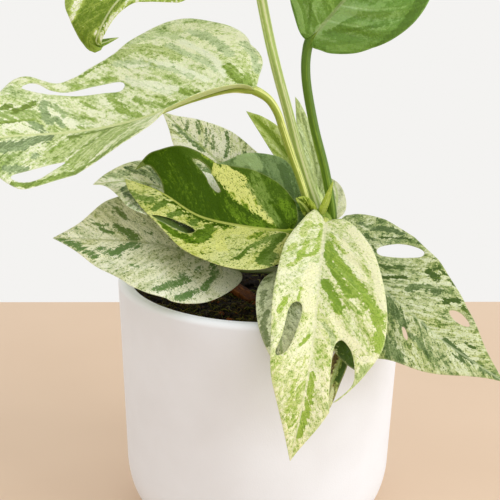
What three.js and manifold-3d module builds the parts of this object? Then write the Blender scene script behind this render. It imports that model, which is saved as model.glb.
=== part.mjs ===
// A marble king pothos in a plain white pot. Millimetres, +Z up.
// The origin is the centre of the pot's underside, and -Y is the front.
import * as THREE from "three";
import { mergeVertices } from "three/addons/utils/BufferGeometryUtils.js";
import Module from "manifold-3d";

const wasm = await Module();
wasm.setup();

// Clearance between pieces that touch
const GAP = 0.3;

// Pot
const POT_RADIUS = 65;
const POT_HEIGHT = 116;
const POT_WALL = 4;
const POT_FLOOR = 7;
const POT_FOOT_RADIUS = 36;
const POT_CORNER_TOP = 27;
const POT_CORNER_RADIUS = 61.9;
const POT_CORNER_PULL = [[52, 0], [60.4, 9]];
const CAVITY_CORNER_PULL = [[48.1, 7], [56.9, 14]];
const CAVITY_CORNER_TOP = 30;
const LIP_ROUND = 1.6;
const POT_SIDES = 60;

// Soil
const SOIL_TOP = 108;
const SOIL_RINGS = [50, 41, 32, 23, 14, 5];
const SOIL_SWELL = 0.9;
const SOIL_SIDES = 36;

// Bark chip
const BARK_OUTLINE = [
  [-12, -2], [-9, -3.2], [4, -2.6], [11, -3], [12.5, 0.5], [10, 2.8], [-3, 3.2], [-11, 2.4],
];
const BARK_DEPTH = 2.4;
const BARK_TILT = 0.12;
const BARK_TURN = -1.1;
const BARK_PLACE = [-8, -3, 108.6];

// Vine stem
const STEM_RADIUS = 6;
const STEM_FOOT = [28, 2, 90];
const STEM_TIP = [27, 1, 147];
const STEM_SIDES = 16;
const SOCKET_DEPTH = 2.6;

// Leaves
const BLADE_THICKNESS = 0.9;
const BLADE_STEP = 8;
const MARGIN_STEP = 6;
const HOLE_STEP = 4.8;
const NORMAL_REACH = 0.5;
const STALK_SIDES = 10;
const STALK_STEP = 7;
const STALK_UNDER_RIB = 4;
const STALK_OUT = 3;
const STALK_RISE = 2;

// Each blade is drawn flat: x runs along its midrib from the stalk joint, and y is the distance out from the
// midrib, both in mm. rib bends the midrib in space, face is the way its upper side looks, and fold tips each
// half towards that side in degrees. face and fold change evenly from the joint to the tip. Left and right
// are seen from above with the tip ahead. A margin is a list of smooth strokes with a corner between each.
const LEAVES = {
  leaf_left: {
    colour: 0xd3dcb8,
    rib: [
      [-3.5, -4, 203.5], [-14, -6, 204.5], [-31.5, -9, 199.5], [-53, -14, 191.5],
      [-78, -20, 187], [-110.5, -30, 186], [-125.5, -36, 183],
    ],
    face: [[0.05, -0.17, 0.98], [0, -0.25, 0.97], [0, -0.4, 0.92], [0, -0.4, 0.92]],
    fold: { left: [28, 30, 31, 21, 6, 0, -2], right: [26, 24, 12, 4] },
    left: [[[2, 4], [6, 13], [12, 22], [20, 30], [32, 36], [47, 38], [62, 36], [78, 34.5], [92, 35],
      [104, 36.4], [110, 36], [115, 32], [121, 24], [126, 11], [129.4, 0]]],
    right: [[[-2, 8], [-4.6, 17.5], [-3, 24], [1.4, 30], [9, 39], [17.5, 45.8], [26, 47.4], [35, 45.2],
      [46, 42.8], [66, 37], [75, 32.5], [84, 29.8], [90, 32], [97, 36.5], [103, 35.5], [109, 29],
      [117, 19], [124, 9], [129.4, 0]]],
    holes: [
      [1, [[100, 29.2], [97, 31.8], [92.8, 30.6], [87.5, 25.8], [80.5, 23.6], [68, 24.8], [57, 24.6],
        [54, 22], [57, 18.8], [65, 20], [78, 20.7], [90, 24]]],
      [-1, [[113.4, 28], [111, 25.8], [103, 24.8], [93, 23.6], [88.8, 24.2], [94, 28.2], [102, 32.6],
        [109, 32]]],
    ],
    stalk: { radius: 1.9, via: [
      [22.5, 0, 144], [18.5, -1, 158.5], [13, -1, 173.5], [9, -2, 185], [6, -3, 193.5], [2, -3.7, 199.5],
    ] },
  },
  leaf_top_left: {
    colour: 0x9db84e,
    rib: [
      [-8, 18, 255.5], [-22.5, 8, 259], [-38.5, 0, 257], [-52.5, -6, 249.5],
      [-63, -12, 239.5], [-69, -16, 229], [-70.5, -15, 222.5], [-63, -8, 224],
    ],
    face: [[0, -0.3, 0.95], [-0.1, -0.5, 0.8], [-0.4, -0.8, 0.5], [-0.5, -0.85, 0.3], [-0.4, -0.8, 0.3]],
    fold: { left: [10], right: [15] },
    left: [[[2, 4], [6, 13], [15, 22], [29, 26.5], [46, 25.4], [52, 21.2], [59.5, 13.3], [63.5, 7.9],
      [70, 5.4], [79, 3.7], [90, 2.4], [99.4, 0]]],
    right: [[[-4, 8], [1, 18], [14, 26], [30, 29], [48, 28], [64, 25], [76, 20.4], [83, 15], [87, 8.5],
      [90, 3.4], [94, 1.8], [99.4, 0]]],
    holes: [[-1, [[60.5, 4.5], [54, 8], [47, 13.5], [44.5, 17], [47.5, 17], [53, 12.5], [58.5, 8]]]],
    stalk: { radius: 2.5, via: [
      [26.5, 5.2, 144], [20.5, 7, 161], [15.5, 9, 176], [11, 11, 191.5], [6.5, 13, 206.5],
      [2.5, 15, 221.5], [-1.5, 17, 239.5], [-3.5, 18, 250],
    ] },
  },
  leaf_top_right: {
    colour: 0x64a050,
    rib: [[19, 4, 223], [31, -2.5, 239], [46, -9, 258.5], [59, -14, 287.5]],
    face: [[0.2, -0.75, 0.6], [0.1, -0.85, 0.5]],
    fold: { left: [10], right: [10] },
    left: [[[0.5, 5], [4, 11], [10, 19], [18, 25], [29, 28], [41, 27.5], [53, 23], [64, 15], [73, 6.5],
      [79.1, 0]]],
    right: [[[0, 3], [1.8, 6.6], [5.4, 13], [14, 20.6], [24, 25.2], [33, 28.2], [42, 28.8], [52, 25.5],
      [62, 18], [71, 8.5], [79.1, 0]]],
    stalk: { radius: 2.05, via: [
      [32, 0.5, 143.5], [28.5, 1, 164.5], [22.5, 2, 186.5], [18.5, 3, 207], [18.2, 3.9, 217],
    ] },
  },
  leaf_front: {
    colour: 0xdde2a6,
    rib: [
      [28.5, -10, 146], [26, -34, 138], [23.5, -60, 128],
      [21.5, -76, 115], [19, -87, 101], [13, -97, 72.5],
    ],
    face: [[0.1, -0.62, 0.78], [0.1, -0.7, 0.7], [0.1, -0.8, 0.6], [0.1, -0.87, 0.5]],
    fold: { left: [12, 12, 10, 8], right: [12, 12, 10, 8] },
    left: [
      [[-2.3, 7], [3, 13], [11.5, 17.7], [22, 22], [33, 24.7], [46, 27], [56, 28.4], [65, 29], [76, 27.5],
        [86.5, 21], [95, 14], [97, 11.6]],
      [[92, 16.2], [88, 18.2], [82, 17.6], [76, 15.4], [72.2, 11.6], [75, 8.8], [84.5, 8.4], [95, 9.5],
        [101, 10.9]],
      [[108, 7.8], [115, 4], [119.5, 1.6], [123.1, 0]],
    ],
    right: [[[-6, 5], [-1.5, 8.2], [7, 11.2], [16, 14.2], [24, 16.3], [32, 17.5], [47, 18.4], [62, 18.8],
      [79, 17.2], [91, 15], [104, 9], [113, 4.6], [123.1, 0]]],
    holes: [
      [1, [[58, 8.5], [60.5, 5.8], [72, 7.5], [80, 10], [83.2, 13.2], [82, 15], [74, 13.2], [62, 11.6]]],
    ],
    stalk: { radius: 1.8, via: [[28, -1.5, 140], [28.6, -5.4, 145.2]] },
  },
  leaf_right: {
    colour: 0xa9bd8c,
    rib: [
      [34, -16, 140], [42, -30, 134], [52.5, -44, 126], [66.5, -55, 117],
      [75.5, -61, 110.5], [88, -66, 103.5], [100.5, -70, 96.5],
    ],
    face: [[0.25, -0.72, 0.72], [0.4, -0.7, 0.7], [0.45, -0.75, 0.6]],
    fold: { left: [8], right: [2, -2, -12, -10, -8] },
    left: [[[-10.5, 8], [-10.7, 13.2], [-8.7, 17.2], [-4, 21.7], [2.4, 25.5], [11.3, 28.4], [22.5, 29.9],
      [35.3, 29.9], [47, 27.9], [63, 21.5], [74.5, 16.9], [86, 8.1], [99.1, 0]]],
    right: [
      [[-5, 4], [-4, 8], [4, 13], [14, 20], [27, 30], [42.7, 36.4], [53.5, 36.2]],
      [[53, 33], [53.4, 29], [55, 26.4], [57.4, 25.5]],
      [[66.8, 18.8], [75, 13.6], [89.6, 4.4], [99.1, 0]],
    ],
    holes: [
      [-1, [[15, 10.6], [15, 18], [20.5, 24], [26.3, 27.4], [28.8, 26.8], [29.3, 23.1], [23.8, 15.6],
        [19, 10.4]]],
      [-1, [[62, 13.6], [65, 15.6], [71.5, 14.8], [74.8, 13], [72.5, 11.8], [65.6, 12.3]]],
      [1, [[53.5, 7.8], [55, 7.3], [58.6, 9.3], [59.6, 10.9], [57, 10.6]]],
    ],
    stalk: { radius: 1.8, from: [133, -55], lead: 6 },
  },
  leaf_folded: {
    colour: 0x86a83c,
    rib: [[12.5, -14, 142], [-7, -21, 146], [-27, -26, 152], [-43, -29, 163], [-58, -31, 169.5]],
    face: [[0, -0.55, 0.83], [0, -0.55, 0.83], [0, -0.6, 0.8]],
    fold: { left: [16], right: [24] },
    left: [[[-4, 6], [-2, 14], [4, 20], [12.3, 25.5], [20, 30.5], [27.7, 32.4], [36, 31.4], [44, 27.4],
      [54, 21.5], [63, 18.4], [71, 13], [76.4, 5.8], [78.8, 0]]],
    right: [
      [[-4, 5], [-3.9, 12.9], [-2, 16.4], [4.8, 22.8], [15.5, 26.9], [29, 27], [46.6, 25.3], [57.4, 24.4],
        [63.3, 22.4], [68.3, 17.5], [71.8, 13.2], [74.9, 6]],
      [[72.8, 8.4], [71, 9.4], [68.6, 8.4], [64.2, 5], [62, 2], [61, 0.6]],
      [[68, 0.6], [78.8, 0]],
    ],
    holes: [
      [1, [[57.5, 19.6], [54, 21.6], [42, 20.3], [35.5, 16], [34.7, 13.8], [37.2, 13.6], [45, 16.8]]],
      [-1, [[64, 16], [56, 11.6], [49, 9.4], [44.8, 9.8], [44.3, 12.4], [47.5, 15.4], [55, 16], [62, 17]]],
    ],
    stalk: { radius: 1.7, from: [136, -140], lead: 6 },
  },
  leaf_lower_left: {
    colour: 0xb6bf9c,
    rib: [[-17, -24, 130], [-31, -27, 135], [-41.5, -30, 139.5], [-51, -33, 142], [-68.5, -37, 144],
      [-88, -40, 145.5]],
    face: [[0.1, -0.5, 0.86], [0, -0.5, 0.86]],
    fold: { left: [8], right: [8] },
    left: [[[-8, 1.5], [-9.3, 6], [-6.2, 12.5], [0, 20.3], [7.3, 26.8], [15.2, 30.8], [25.8, 33.6],
      [35, 33], [46.8, 25.3], [57.4, 16.8], [67, 6.4], [75.1, 0]]],
    right: [[[-8, 3], [-8, 12], [-2, 20], [9, 26], [24, 28], [38, 26.5], [46, 23.8], [54.3, 19.2], [64, 8.4],
      [75.1, 0]]],
    stalk: { radius: 1.6, from: [118, -150], lead: 8 },
  },
  leaf_middle_left: {
    colour: 0xa8b593,
    rib: [[-13.5, -6, 148.5], [-32, -11, 155.5], [-52, -20, 165], [-72, -28, 166]],
    face: [[0, -0.5, 0.86], [-0.1, -0.5, 0.86]],
    fold: { left: [8], right: [8] },
    left: [[[-5, 4], [-5, 12], [4, 20], [18, 25], [34, 27], [48, 25.5], [55, 20], [57.4, 12], [59.4, 5],
      [62, 1], [66, 0]]],
    right: [[[-5, 4], [-3, 12], [8, 17], [24, 17.5], [36, 15], [47.5, 11.4], [56.7, 6.8], [61.5, 3.8],
      [66, 0]]],
    stalk: { radius: 1.6, from: [130, 175], lead: 8 },
  },
  leaf_back_pale: {
    colour: 0xc3cba8,
    rib: [[3, 16, 145.5], [-10.5, 24, 155], [-27, 32, 167.5], [-47.5, 38, 184]],
    face: [[0, -0.75, 0.66]],
    fold: { left: [10], right: [10] },
    left: [[[-4, 5], [0, 12], [12, 17], [28, 17.5], [42, 14], [53, 9.2], [60, 4.4], [67.6, 0]]],
    right: [[[-4, 5], [0, 11], [10, 15], [24, 15.6], [38, 14.6], [52, 9], [61, 3.4], [67.6, 0]]],
    stalk: { radius: 1.6, from: [124, 130], lead: 8 },
  },
  leaf_back_round: {
    colour: 0x557d4b,
    rib: [[15.5, 8, 147.5], [0, 12, 154], [-16, 16, 158], [-31, 20, 160]],
    face: [[0, -0.7, 0.7]],
    fold: { left: [8], right: [8] },
    left: [[[-3, 3], [0, 6], [8, 8.4], [20, 9.4], [32, 8], [42, 4.4], [49.9, 0]]],
    right: [[[-3, 3], [-1, 7.4], [5.9, 12.8], [13.8, 17.7], [21.7, 17.3], [31, 13.9], [38, 7.9], [44, 3.6],
      [49.9, 0]]],
    stalk: { radius: 1.6, from: [137, 150], lead: 6 },
  },
  leaf_back_olive: {
    colour: 0x7f9a4a,
    rib: [[19, 22, 153.5], [11.5, 26, 165], [1.5, 30, 176.5], [-8, 34, 186]],
    face: [[0.3, -0.8, 0.5]],
    fold: { left: [15], right: [15] },
    left: [[[-2, 2], [4, 4.4], [12, 5.4], [22, 4.6], [34, 2.4], [40, 1], [44.1, 0]]],
    right: [[[-2, 2], [4, 5], [16, 7.2], [28, 6.6], [37, 4], [41, 1.8], [44.1, 0]]],
    stalk: { radius: 1.5, from: [128, 95], lead: 8 },
  },
  leaf_back_narrow: {
    colour: 0xb4c48e,
    rib: [[26, 14, 151], [22.5, 18, 167], [18, 22, 182.5], [14.5, 24, 195]],
    face: [[0.2, -0.9, 0.3]],
    fold: { left: [15], right: [15] },
    left: [[[-1, 2], [4, 4], [14, 5.2], [26, 4.4], [36, 2.4], [42, 1], [46.6, 0]]],
    right: [[[-1, 2], [4, 3], [14, 4.2], [27, 4.2], [36, 3], [43, 1.5], [46.6, 0]]],
    stalk: { radius: 1.5, from: [137, 85], lead: 7 },
  },
  leaf_back_small: {
    colour: 0xb9c690,
    rib: [[33.5, 16, 141], [35, 22, 145.5], [35, 28, 150], [32.5, 34, 154.5]],
    face: [[0.2, -0.85, 0.5]],
    fold: { left: [10], right: [10] },
    left: [[[-1, 2], [3, 5.6], [9, 7], [16, 5], [20, 2.4], [23.1, 0]]],
    right: [[[-1, 2], [3.2, 4.4], [8, 4.6], [14, 3.4], [19.5, 1.9], [23.1, 0]]],
    stalk: { radius: 1.4, from: [128, 35], lead: 5 },
  },
  leaf_under: {
    colour: 0x8a9c78,
    rib: [[15, -38, 133], [10, -59, 126.5], [8.5, -71, 115.5], [10.5, -75, 104], [15.5, -77, 90.5]],
    face: [[-0.2, -0.7, 0.7], [-0.3, -0.85, 0.5], [-0.3, -0.95, 0.3]],
    fold: { left: [-6], right: [5] },
    left: [[[-4, 3], [0, 7], [8, 10.5], [18, 12], [30, 11.5], [42, 9], [54, 5], [66.3, 0]]],
    right: [[[-4, 3], [0, 6], [7.7, 10.8], [14, 12.1], [21.7, 12], [34.4, 9.4], [47, 5], [57, 2.4],
      [66.3, 0]]],
    stalk: { radius: 1.6, from: [122, -105], lead: 8 },
  },
  leaf_young: {
    colour: 0x7c8a4c,
    rib: [[38.5, -60, 107.5], [35.5, -63, 100], [32.5, -67, 92.5], [30, -70, 81]],
    face: [[0.1, -0.95, 0.3]],
    fold: { left: [20], right: [20] },
    left: [[[-1, 1.4], [3, 3], [10, 3.8], [18, 3.4], [24, 2], [28.6, 0]]],
    right: [[[-1, 1.4], [3, 3], [10, 3.8], [18, 3.4], [24, 2], [28.6, 0]]],
    stalk: { radius: 1.2, via: [[30.5, -1.5, 114], [38, -28, 121], [41, -50.5, 118.9], [40.2, -57, 113]] },
  },
};

// Small pointed sheaths at the stem's top
const SHEATHS = [
  {
    rib: [[27.2, -2.5, 146], [29.3, -4.4, 154], [31.2, -5.4, 162.5]],
    face: [[-0.2, -0.95, 0.2]],
    fold: { left: [25], right: [25] },
    left: [[[2, 2.4], [8, 2.2], [13, 1.2], [18.3, 0]]],
    right: [[[2, 2.4], [8, 2.2], [13, 1.2], [18.3, 0]]],
  },
  {
    rib: [[23, -1, 145], [19, -4.4, 151.5], [14.8, -6.6, 155.5]],
    face: [[-0.3, -0.8, 0.5]],
    fold: { left: [25], right: [25] },
    left: [[[2, 2.6], [7, 2.8], [11, 1.6], [14.2, 0]]],
    right: [[[2, 2.6], [7, 2.8], [11, 1.6], [14.2, 0]]],
  },
];

// Half width of the triangle that every flat point lies in
const FAR = 4000;

const vec = (p) => new THREE.Vector3(...p);

// Value of a list of numbers spread evenly from the joint (0) to the tip (1)
function spread(values, share) {
  const place = Math.min(Math.max(share, 0), 1) * (values.length - 1);
  const low = Math.min(Math.floor(place), Math.max(values.length - 2, 0));
  return THREE.MathUtils.lerp(values[low], values[Math.min(low + 1, values.length - 1)], place - low);
}

// The bent surface that a flat blade is laid on
class BladeSurface {
  constructor(leaf) {
    this.leaf = leaf;
    this.curve = new THREE.CatmullRomCurve3(leaf.rib.map(vec), false, "catmullrom", 0.5);
    this.curve.arcLengthDivisions = 400;
    this.length = this.curve.getLength();
  }

  // Midrib point, direction, upper side and sideways direction, x mm from the joint
  frame(x) {
    const share = Math.min(Math.max(x / this.length, 0), 1);
    const along = this.curve.getTangentAt(share);
    const point = this.curve.getPointAt(share).addScaledVector(along, x - share * this.length);
    const face = this.leaf.face;
    const look = new THREE.Vector3(...[0, 1, 2].map((k) => spread(face.map((f) => f[k]), share)));
    const upper = look.addScaledVector(along, -look.dot(along)).normalize();
    return { share, point, upper, side: along.clone().cross(upper) };
  }

  // Flat point (x, y) laid on the surface, with y to the right of the midrib
  at(x, y) {
    const { share, point, upper, side } = this.frame(x);
    const { left, right } = this.leaf.fold;
    const tip = THREE.MathUtils.degToRad(spread(y < 0 ? left : right, share));
    return point
      .addScaledVector(side, y * Math.cos(tip))
      .addScaledVector(upper, Math.abs(y) * Math.sin(tip));
  }

  // Upper normal at a flat point, the mean of both halves on the midrib
  normal(x, y) {
    const sum = new THREE.Vector3();
    for (const middle of y === 0 ? [-1, 1] : [y]) {
      const along = this.at(x + NORMAL_REACH, middle).sub(this.at(x - NORMAL_REACH, middle));
      const across = this.at(x, middle + NORMAL_REACH).sub(this.at(x, middle - NORMAL_REACH));
      sum.add(across.cross(along).normalize());
    }
    return sum.normalize();
  }
}

// Smooth strokes joined at corners, as flat points about MARGIN_STEP apart
function drawStrokes(start, strokes, sign) {
  const drawn = [];
  let from = start;
  for (const stroke of strokes) {
    const points = [from, ...stroke].map(([x, y]) => new THREE.Vector2(x, sign * y));
    const curve = new THREE.SplineCurve(points);
    const pieces = Math.max(points.length - 1, Math.round(curve.getLength() / MARGIN_STEP));
    drawn.push(...curve.getSpacedPoints(pieces).slice(1));
    from = stroke[stroke.length - 1];
  }
  return drawn;
}

function drawHole(points, sign) {
  const loop = points.map(([x, y]) => new THREE.Vector3(x, sign * y, 0));
  const curve = new THREE.CatmullRomCurve3(loop, true, "catmullrom", 0.5);
  const pieces = Math.max(8, Math.round(curve.getLength() / HOLE_STEP));
  return curve.getSpacedPoints(pieces).slice(0, -1).map((p) => new THREE.Vector2(p.x, p.y));
}

function inside(point, loop) {
  let hit = false;
  for (let i = 0, j = loop.length - 1; i < loop.length; j = i, i += 1) {
    const a = loop[i];
    const b = loop[j];
    const crosses = a.y > point.y !== b.y > point.y;
    if (crosses && point.x < ((b.x - a.x) * (point.y - a.y)) / (b.y - a.y) + a.x) hit = !hit;
  }
  return hit;
}

function distanceToSegment(p, a, b) {
  const span = b.clone().sub(a);
  const share = THREE.MathUtils.clamp(p.clone().sub(a).dot(span) / span.lengthSq(), 0, 1);
  return a.clone().addScaledVector(span, share).distanceTo(p);
}

// Delaunay triangles of flat points, each point added in turn
function delaunay(points) {
  const around = [[-FAR, -FAR], [FAR, -FAR], [0, FAR]].map(([x, y]) => new THREE.Vector2(x, y));
  const all = [...points, ...around];
  const circle = (a, b, c) => {
    const [p, q, r] = [all[a], all[b], all[c]];
    const d = 2 * (p.x * (q.y - r.y) + q.x * (r.y - p.y) + r.x * (p.y - q.y));
    const [pp, qq, rr] = [p.lengthSq(), q.lengthSq(), r.lengthSq()];
    const x = (pp * (q.y - r.y) + qq * (r.y - p.y) + rr * (p.y - q.y)) / d;
    const y = (pp * (r.x - q.x) + qq * (p.x - r.x) + rr * (q.x - p.x)) / d;
    return { ids: [a, b, c], x, y, reach: (p.x - x) ** 2 + (p.y - y) ** 2 };
  };
  let triangles = [circle(points.length, points.length + 1, points.length + 2)];
  points.forEach((point, id) => {
    const open = new Map();
    const kept = [];
    for (const triangle of triangles) {
      if ((point.x - triangle.x) ** 2 + (point.y - triangle.y) ** 2 >= triangle.reach) {
        kept.push(triangle);
        continue;
      }
      const [a, b, c] = triangle.ids;
      for (const [from, to] of [[a, b], [b, c], [c, a]]) {
        const twin = `${to},${from}`;
        if (open.has(twin)) open.delete(twin);
        else open.set(`${from},${to}`, [from, to]);
      }
    }
    triangles = kept.concat([...open.values()].map(([from, to]) => circle(from, to, id)));
  });
  return triangles.map((t) => t.ids).filter((ids) => ids.every((id) => id < points.length));
}

// Splits a flat blade into triangles that follow its margin, its holes and its midrib
function flatBlade(leaf, length) {
  const start = [0, 0];
  const right = drawStrokes(start, leaf.right, 1);
  const left = drawStrokes(start, leaf.left, -1);
  const margin = [new THREE.Vector2(...start), ...right, ...left.slice(0, -1).reverse()];
  const holes = (leaf.holes ?? []).map(([sign, points]) => drawHole(points, sign));
  const ribPieces = Math.round(length / BLADE_STEP);
  const rib = [];
  for (let k = 1; k < ribPieces; k += 1) rib.push(new THREE.Vector2((k * length) / ribPieces, 0));

  const points = [];
  const segments = [];
  const addChain = (chain, closed) => {
    const first = points.length;
    points.push(...chain);
    for (let k = 1; k < chain.length; k += 1) segments.push([first + k - 1, first + k]);
    if (closed) segments.push([points.length - 1, first]);
  };
  addChain(margin, true);
  holes.forEach((hole) => addChain(hole, true));
  const ribStart = points.length;
  addChain(rib, false);
  segments.push([0, ribStart], [points.length - 1, right.length]);

  const edges = segments.map(([a, b]) => [points[a], points[b]]);
  const rowStep = BLADE_STEP * Math.sin(Math.PI / 3);
  const clear = 0.55 * BLADE_STEP;
  const box = new THREE.Box2().setFromPoints(margin);
  for (let row = Math.floor(box.min.y / rowStep); row * rowStep < box.max.y; row += 1) {
    for (let k = Math.floor(box.min.x / BLADE_STEP); k * BLADE_STEP < box.max.x; k += 1) {
      const point = new THREE.Vector2((k + (row % 2 ? 0.5 : 0)) * BLADE_STEP, row * rowStep);
      const held = inside(point, margin) && !holes.some((hole) => inside(point, hole));
      if (held && edges.every(([a, b]) => distanceToSegment(point, a, b) > clear)) points.push(point);
    }
  }

  let triangles = [];
  for (let missing = segments; missing.length; ) {
    triangles = delaunay(points);
    const sides = new Set();
    for (const [a, b, c] of triangles) {
      for (const [from, to] of [[a, b], [b, c], [c, a]]) sides.add(`${from},${to}`).add(`${to},${from}`);
    }
    missing = segments.filter(([a, b]) => !sides.has(`${a},${b}`));
    for (const segment of missing) {
      points.push(points[segment[0]].clone().lerp(points[segment[1]], 0.5));
      segments.push([points.length - 1, segment[1]]);
      segment[1] = points.length - 1;
    }
  }
  const used = triangles.filter(([a, b, c]) => {
    const centre = points[a].clone().add(points[b]).add(points[c]).divideScalar(3);
    return inside(centre, margin) && !holes.some((hole) => inside(centre, hole));
  });
  return { points, triangles: used };
}

function geometryFrom(vertices, faces) {
  const geometry = new THREE.BufferGeometry();
  const places = vertices.flatMap((v) => v.toArray());
  geometry.setAttribute("position", new THREE.Float32BufferAttribute(places, 3));
  geometry.setIndex(faces.flat());
  return geometry;
}

// A blade of even thickness: one set of triangles on both faces, and a wall along every open edge
function bladeGeometry(leaf) {
  const surface = new BladeSurface(leaf);
  const { points, triangles } = flatBlade(leaf, surface.length);
  const vertices = [];
  for (const { x, y } of points) {
    const middle = surface.at(x, y);
    const lift = surface.normal(x, y).multiplyScalar(BLADE_THICKNESS / 2);
    vertices.push(middle.clone().add(lift), middle.clone().sub(lift));
  }
  const faces = [];
  const open = new Map();
  for (const [a, b, c] of triangles) {
    faces.push([2 * c, 2 * b, 2 * a], [2 * a + 1, 2 * b + 1, 2 * c + 1]);
    for (const [from, to] of [[a, b], [b, c], [c, a]]) {
      if (!open.delete(`${to},${from}`)) open.set(`${from},${to}`, [from, to]);
    }
  }
  for (const [from, to] of open.values()) {
    faces.push([2 * from, 2 * to, 2 * to + 1], [2 * from, 2 * to + 1, 2 * from + 1]);
  }
  return geometryFrom(vertices, faces);
}

// Joins and cuts
function solidOf(geometry) {
  const bare = geometry.clone();
  bare.deleteAttribute("normal");
  bare.deleteAttribute("uv");
  const merged = mergeVertices(bare, 1e-4);
  const vertProperties = Float32Array.from(merged.attributes.position.array);
  const triVerts = Uint32Array.from(merged.index.array);
  return new wasm.Manifold(new wasm.Mesh({ numProp: 3, vertProperties, triVerts }));
}

function geometryOf(solid) {
  const mesh = solid.getMesh();
  const geometry = new THREE.BufferGeometry();
  geometry.setAttribute("position", new THREE.BufferAttribute(Float32Array.from(mesh.vertProperties), 3));
  geometry.setIndex(new THREE.BufferAttribute(Uint32Array.from(mesh.triVerts), 1));
  return geometry;
}

function tube(points, radius, sides) {
  const path = new THREE.CatmullRomCurve3(points.map(vec), false, "centripetal");
  const shape = new THREE.Shape().absarc(0, 0, radius, 0, 2 * Math.PI);
  const steps = Math.max(4, Math.round(path.getLength() / STALK_STEP));
  return new THREE.ExtrudeGeometry(shape, {
    steps, curveSegments: sides / 2, bevelEnabled: false, extrudePath: path,
  });
}

// Stalk route from its seat in the stem to the joint, where it runs on under the midrib
function stalkPoints(leaf) {
  const surface = new BladeSurface(leaf);
  const joint = surface.at(0, 0);
  const ahead = surface.at(STALK_UNDER_RIB, 0);
  const along = ahead.clone().sub(joint).normalize();
  const { via, from, lead } = leaf.stalk;
  if (via) return [...via, joint.toArray(), ahead.toArray()];
  const [height, azimuth] = from;
  const turn = THREE.MathUtils.degToRad(azimuth);
  const out = new THREE.Vector3(Math.cos(turn), Math.sin(turn), 0);
  const share = (height - STEM_FOOT[2]) / (STEM_TIP[2] - STEM_FOOT[2]);
  const core = vec(STEM_FOOT).lerp(vec(STEM_TIP), share);
  const seat = core.clone().addScaledVector(out, STEM_RADIUS - SOCKET_DEPTH);
  const leave = core.clone().addScaledVector(out, STEM_RADIUS + STALK_OUT);
  leave.z += STALK_RISE;
  const enter = joint.clone().addScaledVector(along, -lead);
  return [seat, leave, enter, joint, ahead].map((p) => p.toArray());
}

const parts = new THREE.Group();

function place(name, geometry, colour, roughness) {
  const material = new THREE.MeshStandardMaterial({ color: colour, roughness, metalness: 0 });
  const mesh = new THREE.Mesh(geometry, material);
  mesh.name = name;
  parts.add(mesh);
}

// Turns a profile of radius and height about the upright axis
function turned(profile, sides) {
  const points = profile.map(([radius, height]) => new THREE.Vector2(radius, height));
  return new THREE.LatheGeometry(points, sides).rotateX(Math.PI / 2);
}

function raised(geometry, lift) {
  const places = geometry.attributes.position;
  for (let i = 0; i < places.count; i += 1) {
    const { x, y, z } = new THREE.Vector3().fromBufferAttribute(places, i);
    places.setZ(i, z + lift(x, y, z));
  }
  return geometry;
}

// Pot
const innerRadius = POT_RADIUS - POT_WALL;
const wallPerHeight = (POT_RADIUS - POT_CORNER_RADIUS) / (POT_HEIGHT - POT_CORNER_TOP);
const foot = new THREE.Path();
foot.moveTo(POT_FOOT_RADIUS, 0);
foot.bezierCurveTo(...POT_CORNER_PULL.flat(), POT_CORNER_RADIUS, POT_CORNER_TOP);
const cavity = new THREE.Path();
cavity.moveTo(POT_FOOT_RADIUS - POT_WALL, POT_FLOOR);
cavity.bezierCurveTo(...CAVITY_CORNER_PULL.flat(), POT_CORNER_RADIUS - POT_WALL, CAVITY_CORNER_TOP);
const cavityPoints = cavity.getPoints(6).map((p) => p.toArray());
place("pot", turned([
  [0, 0],
  ...foot.getPoints(8).map((p) => p.toArray()),
  [POT_RADIUS, POT_HEIGHT - LIP_ROUND],
  [POT_RADIUS - 0.3 * LIP_ROUND, POT_HEIGHT - 0.3 * LIP_ROUND],
  [POT_RADIUS - LIP_ROUND, POT_HEIGHT],
  [innerRadius + LIP_ROUND, POT_HEIGHT],
  [innerRadius + 0.3 * LIP_ROUND, POT_HEIGHT - 0.3 * LIP_ROUND],
  [innerRadius, POT_HEIGHT - LIP_ROUND],
  ...cavityPoints.slice().reverse(),
  [0, POT_FLOOR],
], POT_SIDES), 0xf2eeea, 0.45);

// Vine stem with its two sheaths, with a socket for each stalk
const leaves = Object.entries(LEAVES).map(([name, leaf]) => ({ name, ...leaf, route: stalkPoints(leaf) }));
const stemTube = (spare, foot) => solidOf(tube([foot, STEM_TIP], STEM_RADIUS + spare, STEM_SIDES));
const crown = new THREE.SphereGeometry(STEM_RADIUS, STEM_SIDES, 12).translate(...STEM_TIP);
let stem = stemTube(0, STEM_FOOT).add(solidOf(crown));
for (const sheath of SHEATHS) stem = stem.add(solidOf(bladeGeometry(sheath)));
for (const { route, stalk } of leaves) {
  const behind = vec(route[0]).sub(vec(route[1])).setLength(GAP).add(vec(route[0]));
  stem = stem.subtract(solidOf(tube([behind.toArray(), ...route.slice(1)], stalk.radius + GAP, STALK_SIDES)));
}
place("stem", geometryOf(stem), 0x7d9440, 0.6);

// Bark chip, lying turned in the soil surface
const barkShape = (spare) => {
  const outline = new THREE.Shape(BARK_OUTLINE.map(([x, y]) => new THREE.Vector2(
    x + Math.sign(x) * spare, y + Math.sign(y) * spare)));
  const depth = BARK_DEPTH + 2 * spare;
  return new THREE.ExtrudeGeometry(outline, { depth, bevelEnabled: false })
    .translate(0, 0, -depth / 2)
    .rotateX(BARK_TILT)
    .rotateZ(BARK_TURN)
    .translate(...BARK_PLACE);
};
place("bark_chip", barkShape(0), 0x8a5530, 0.85);

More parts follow.
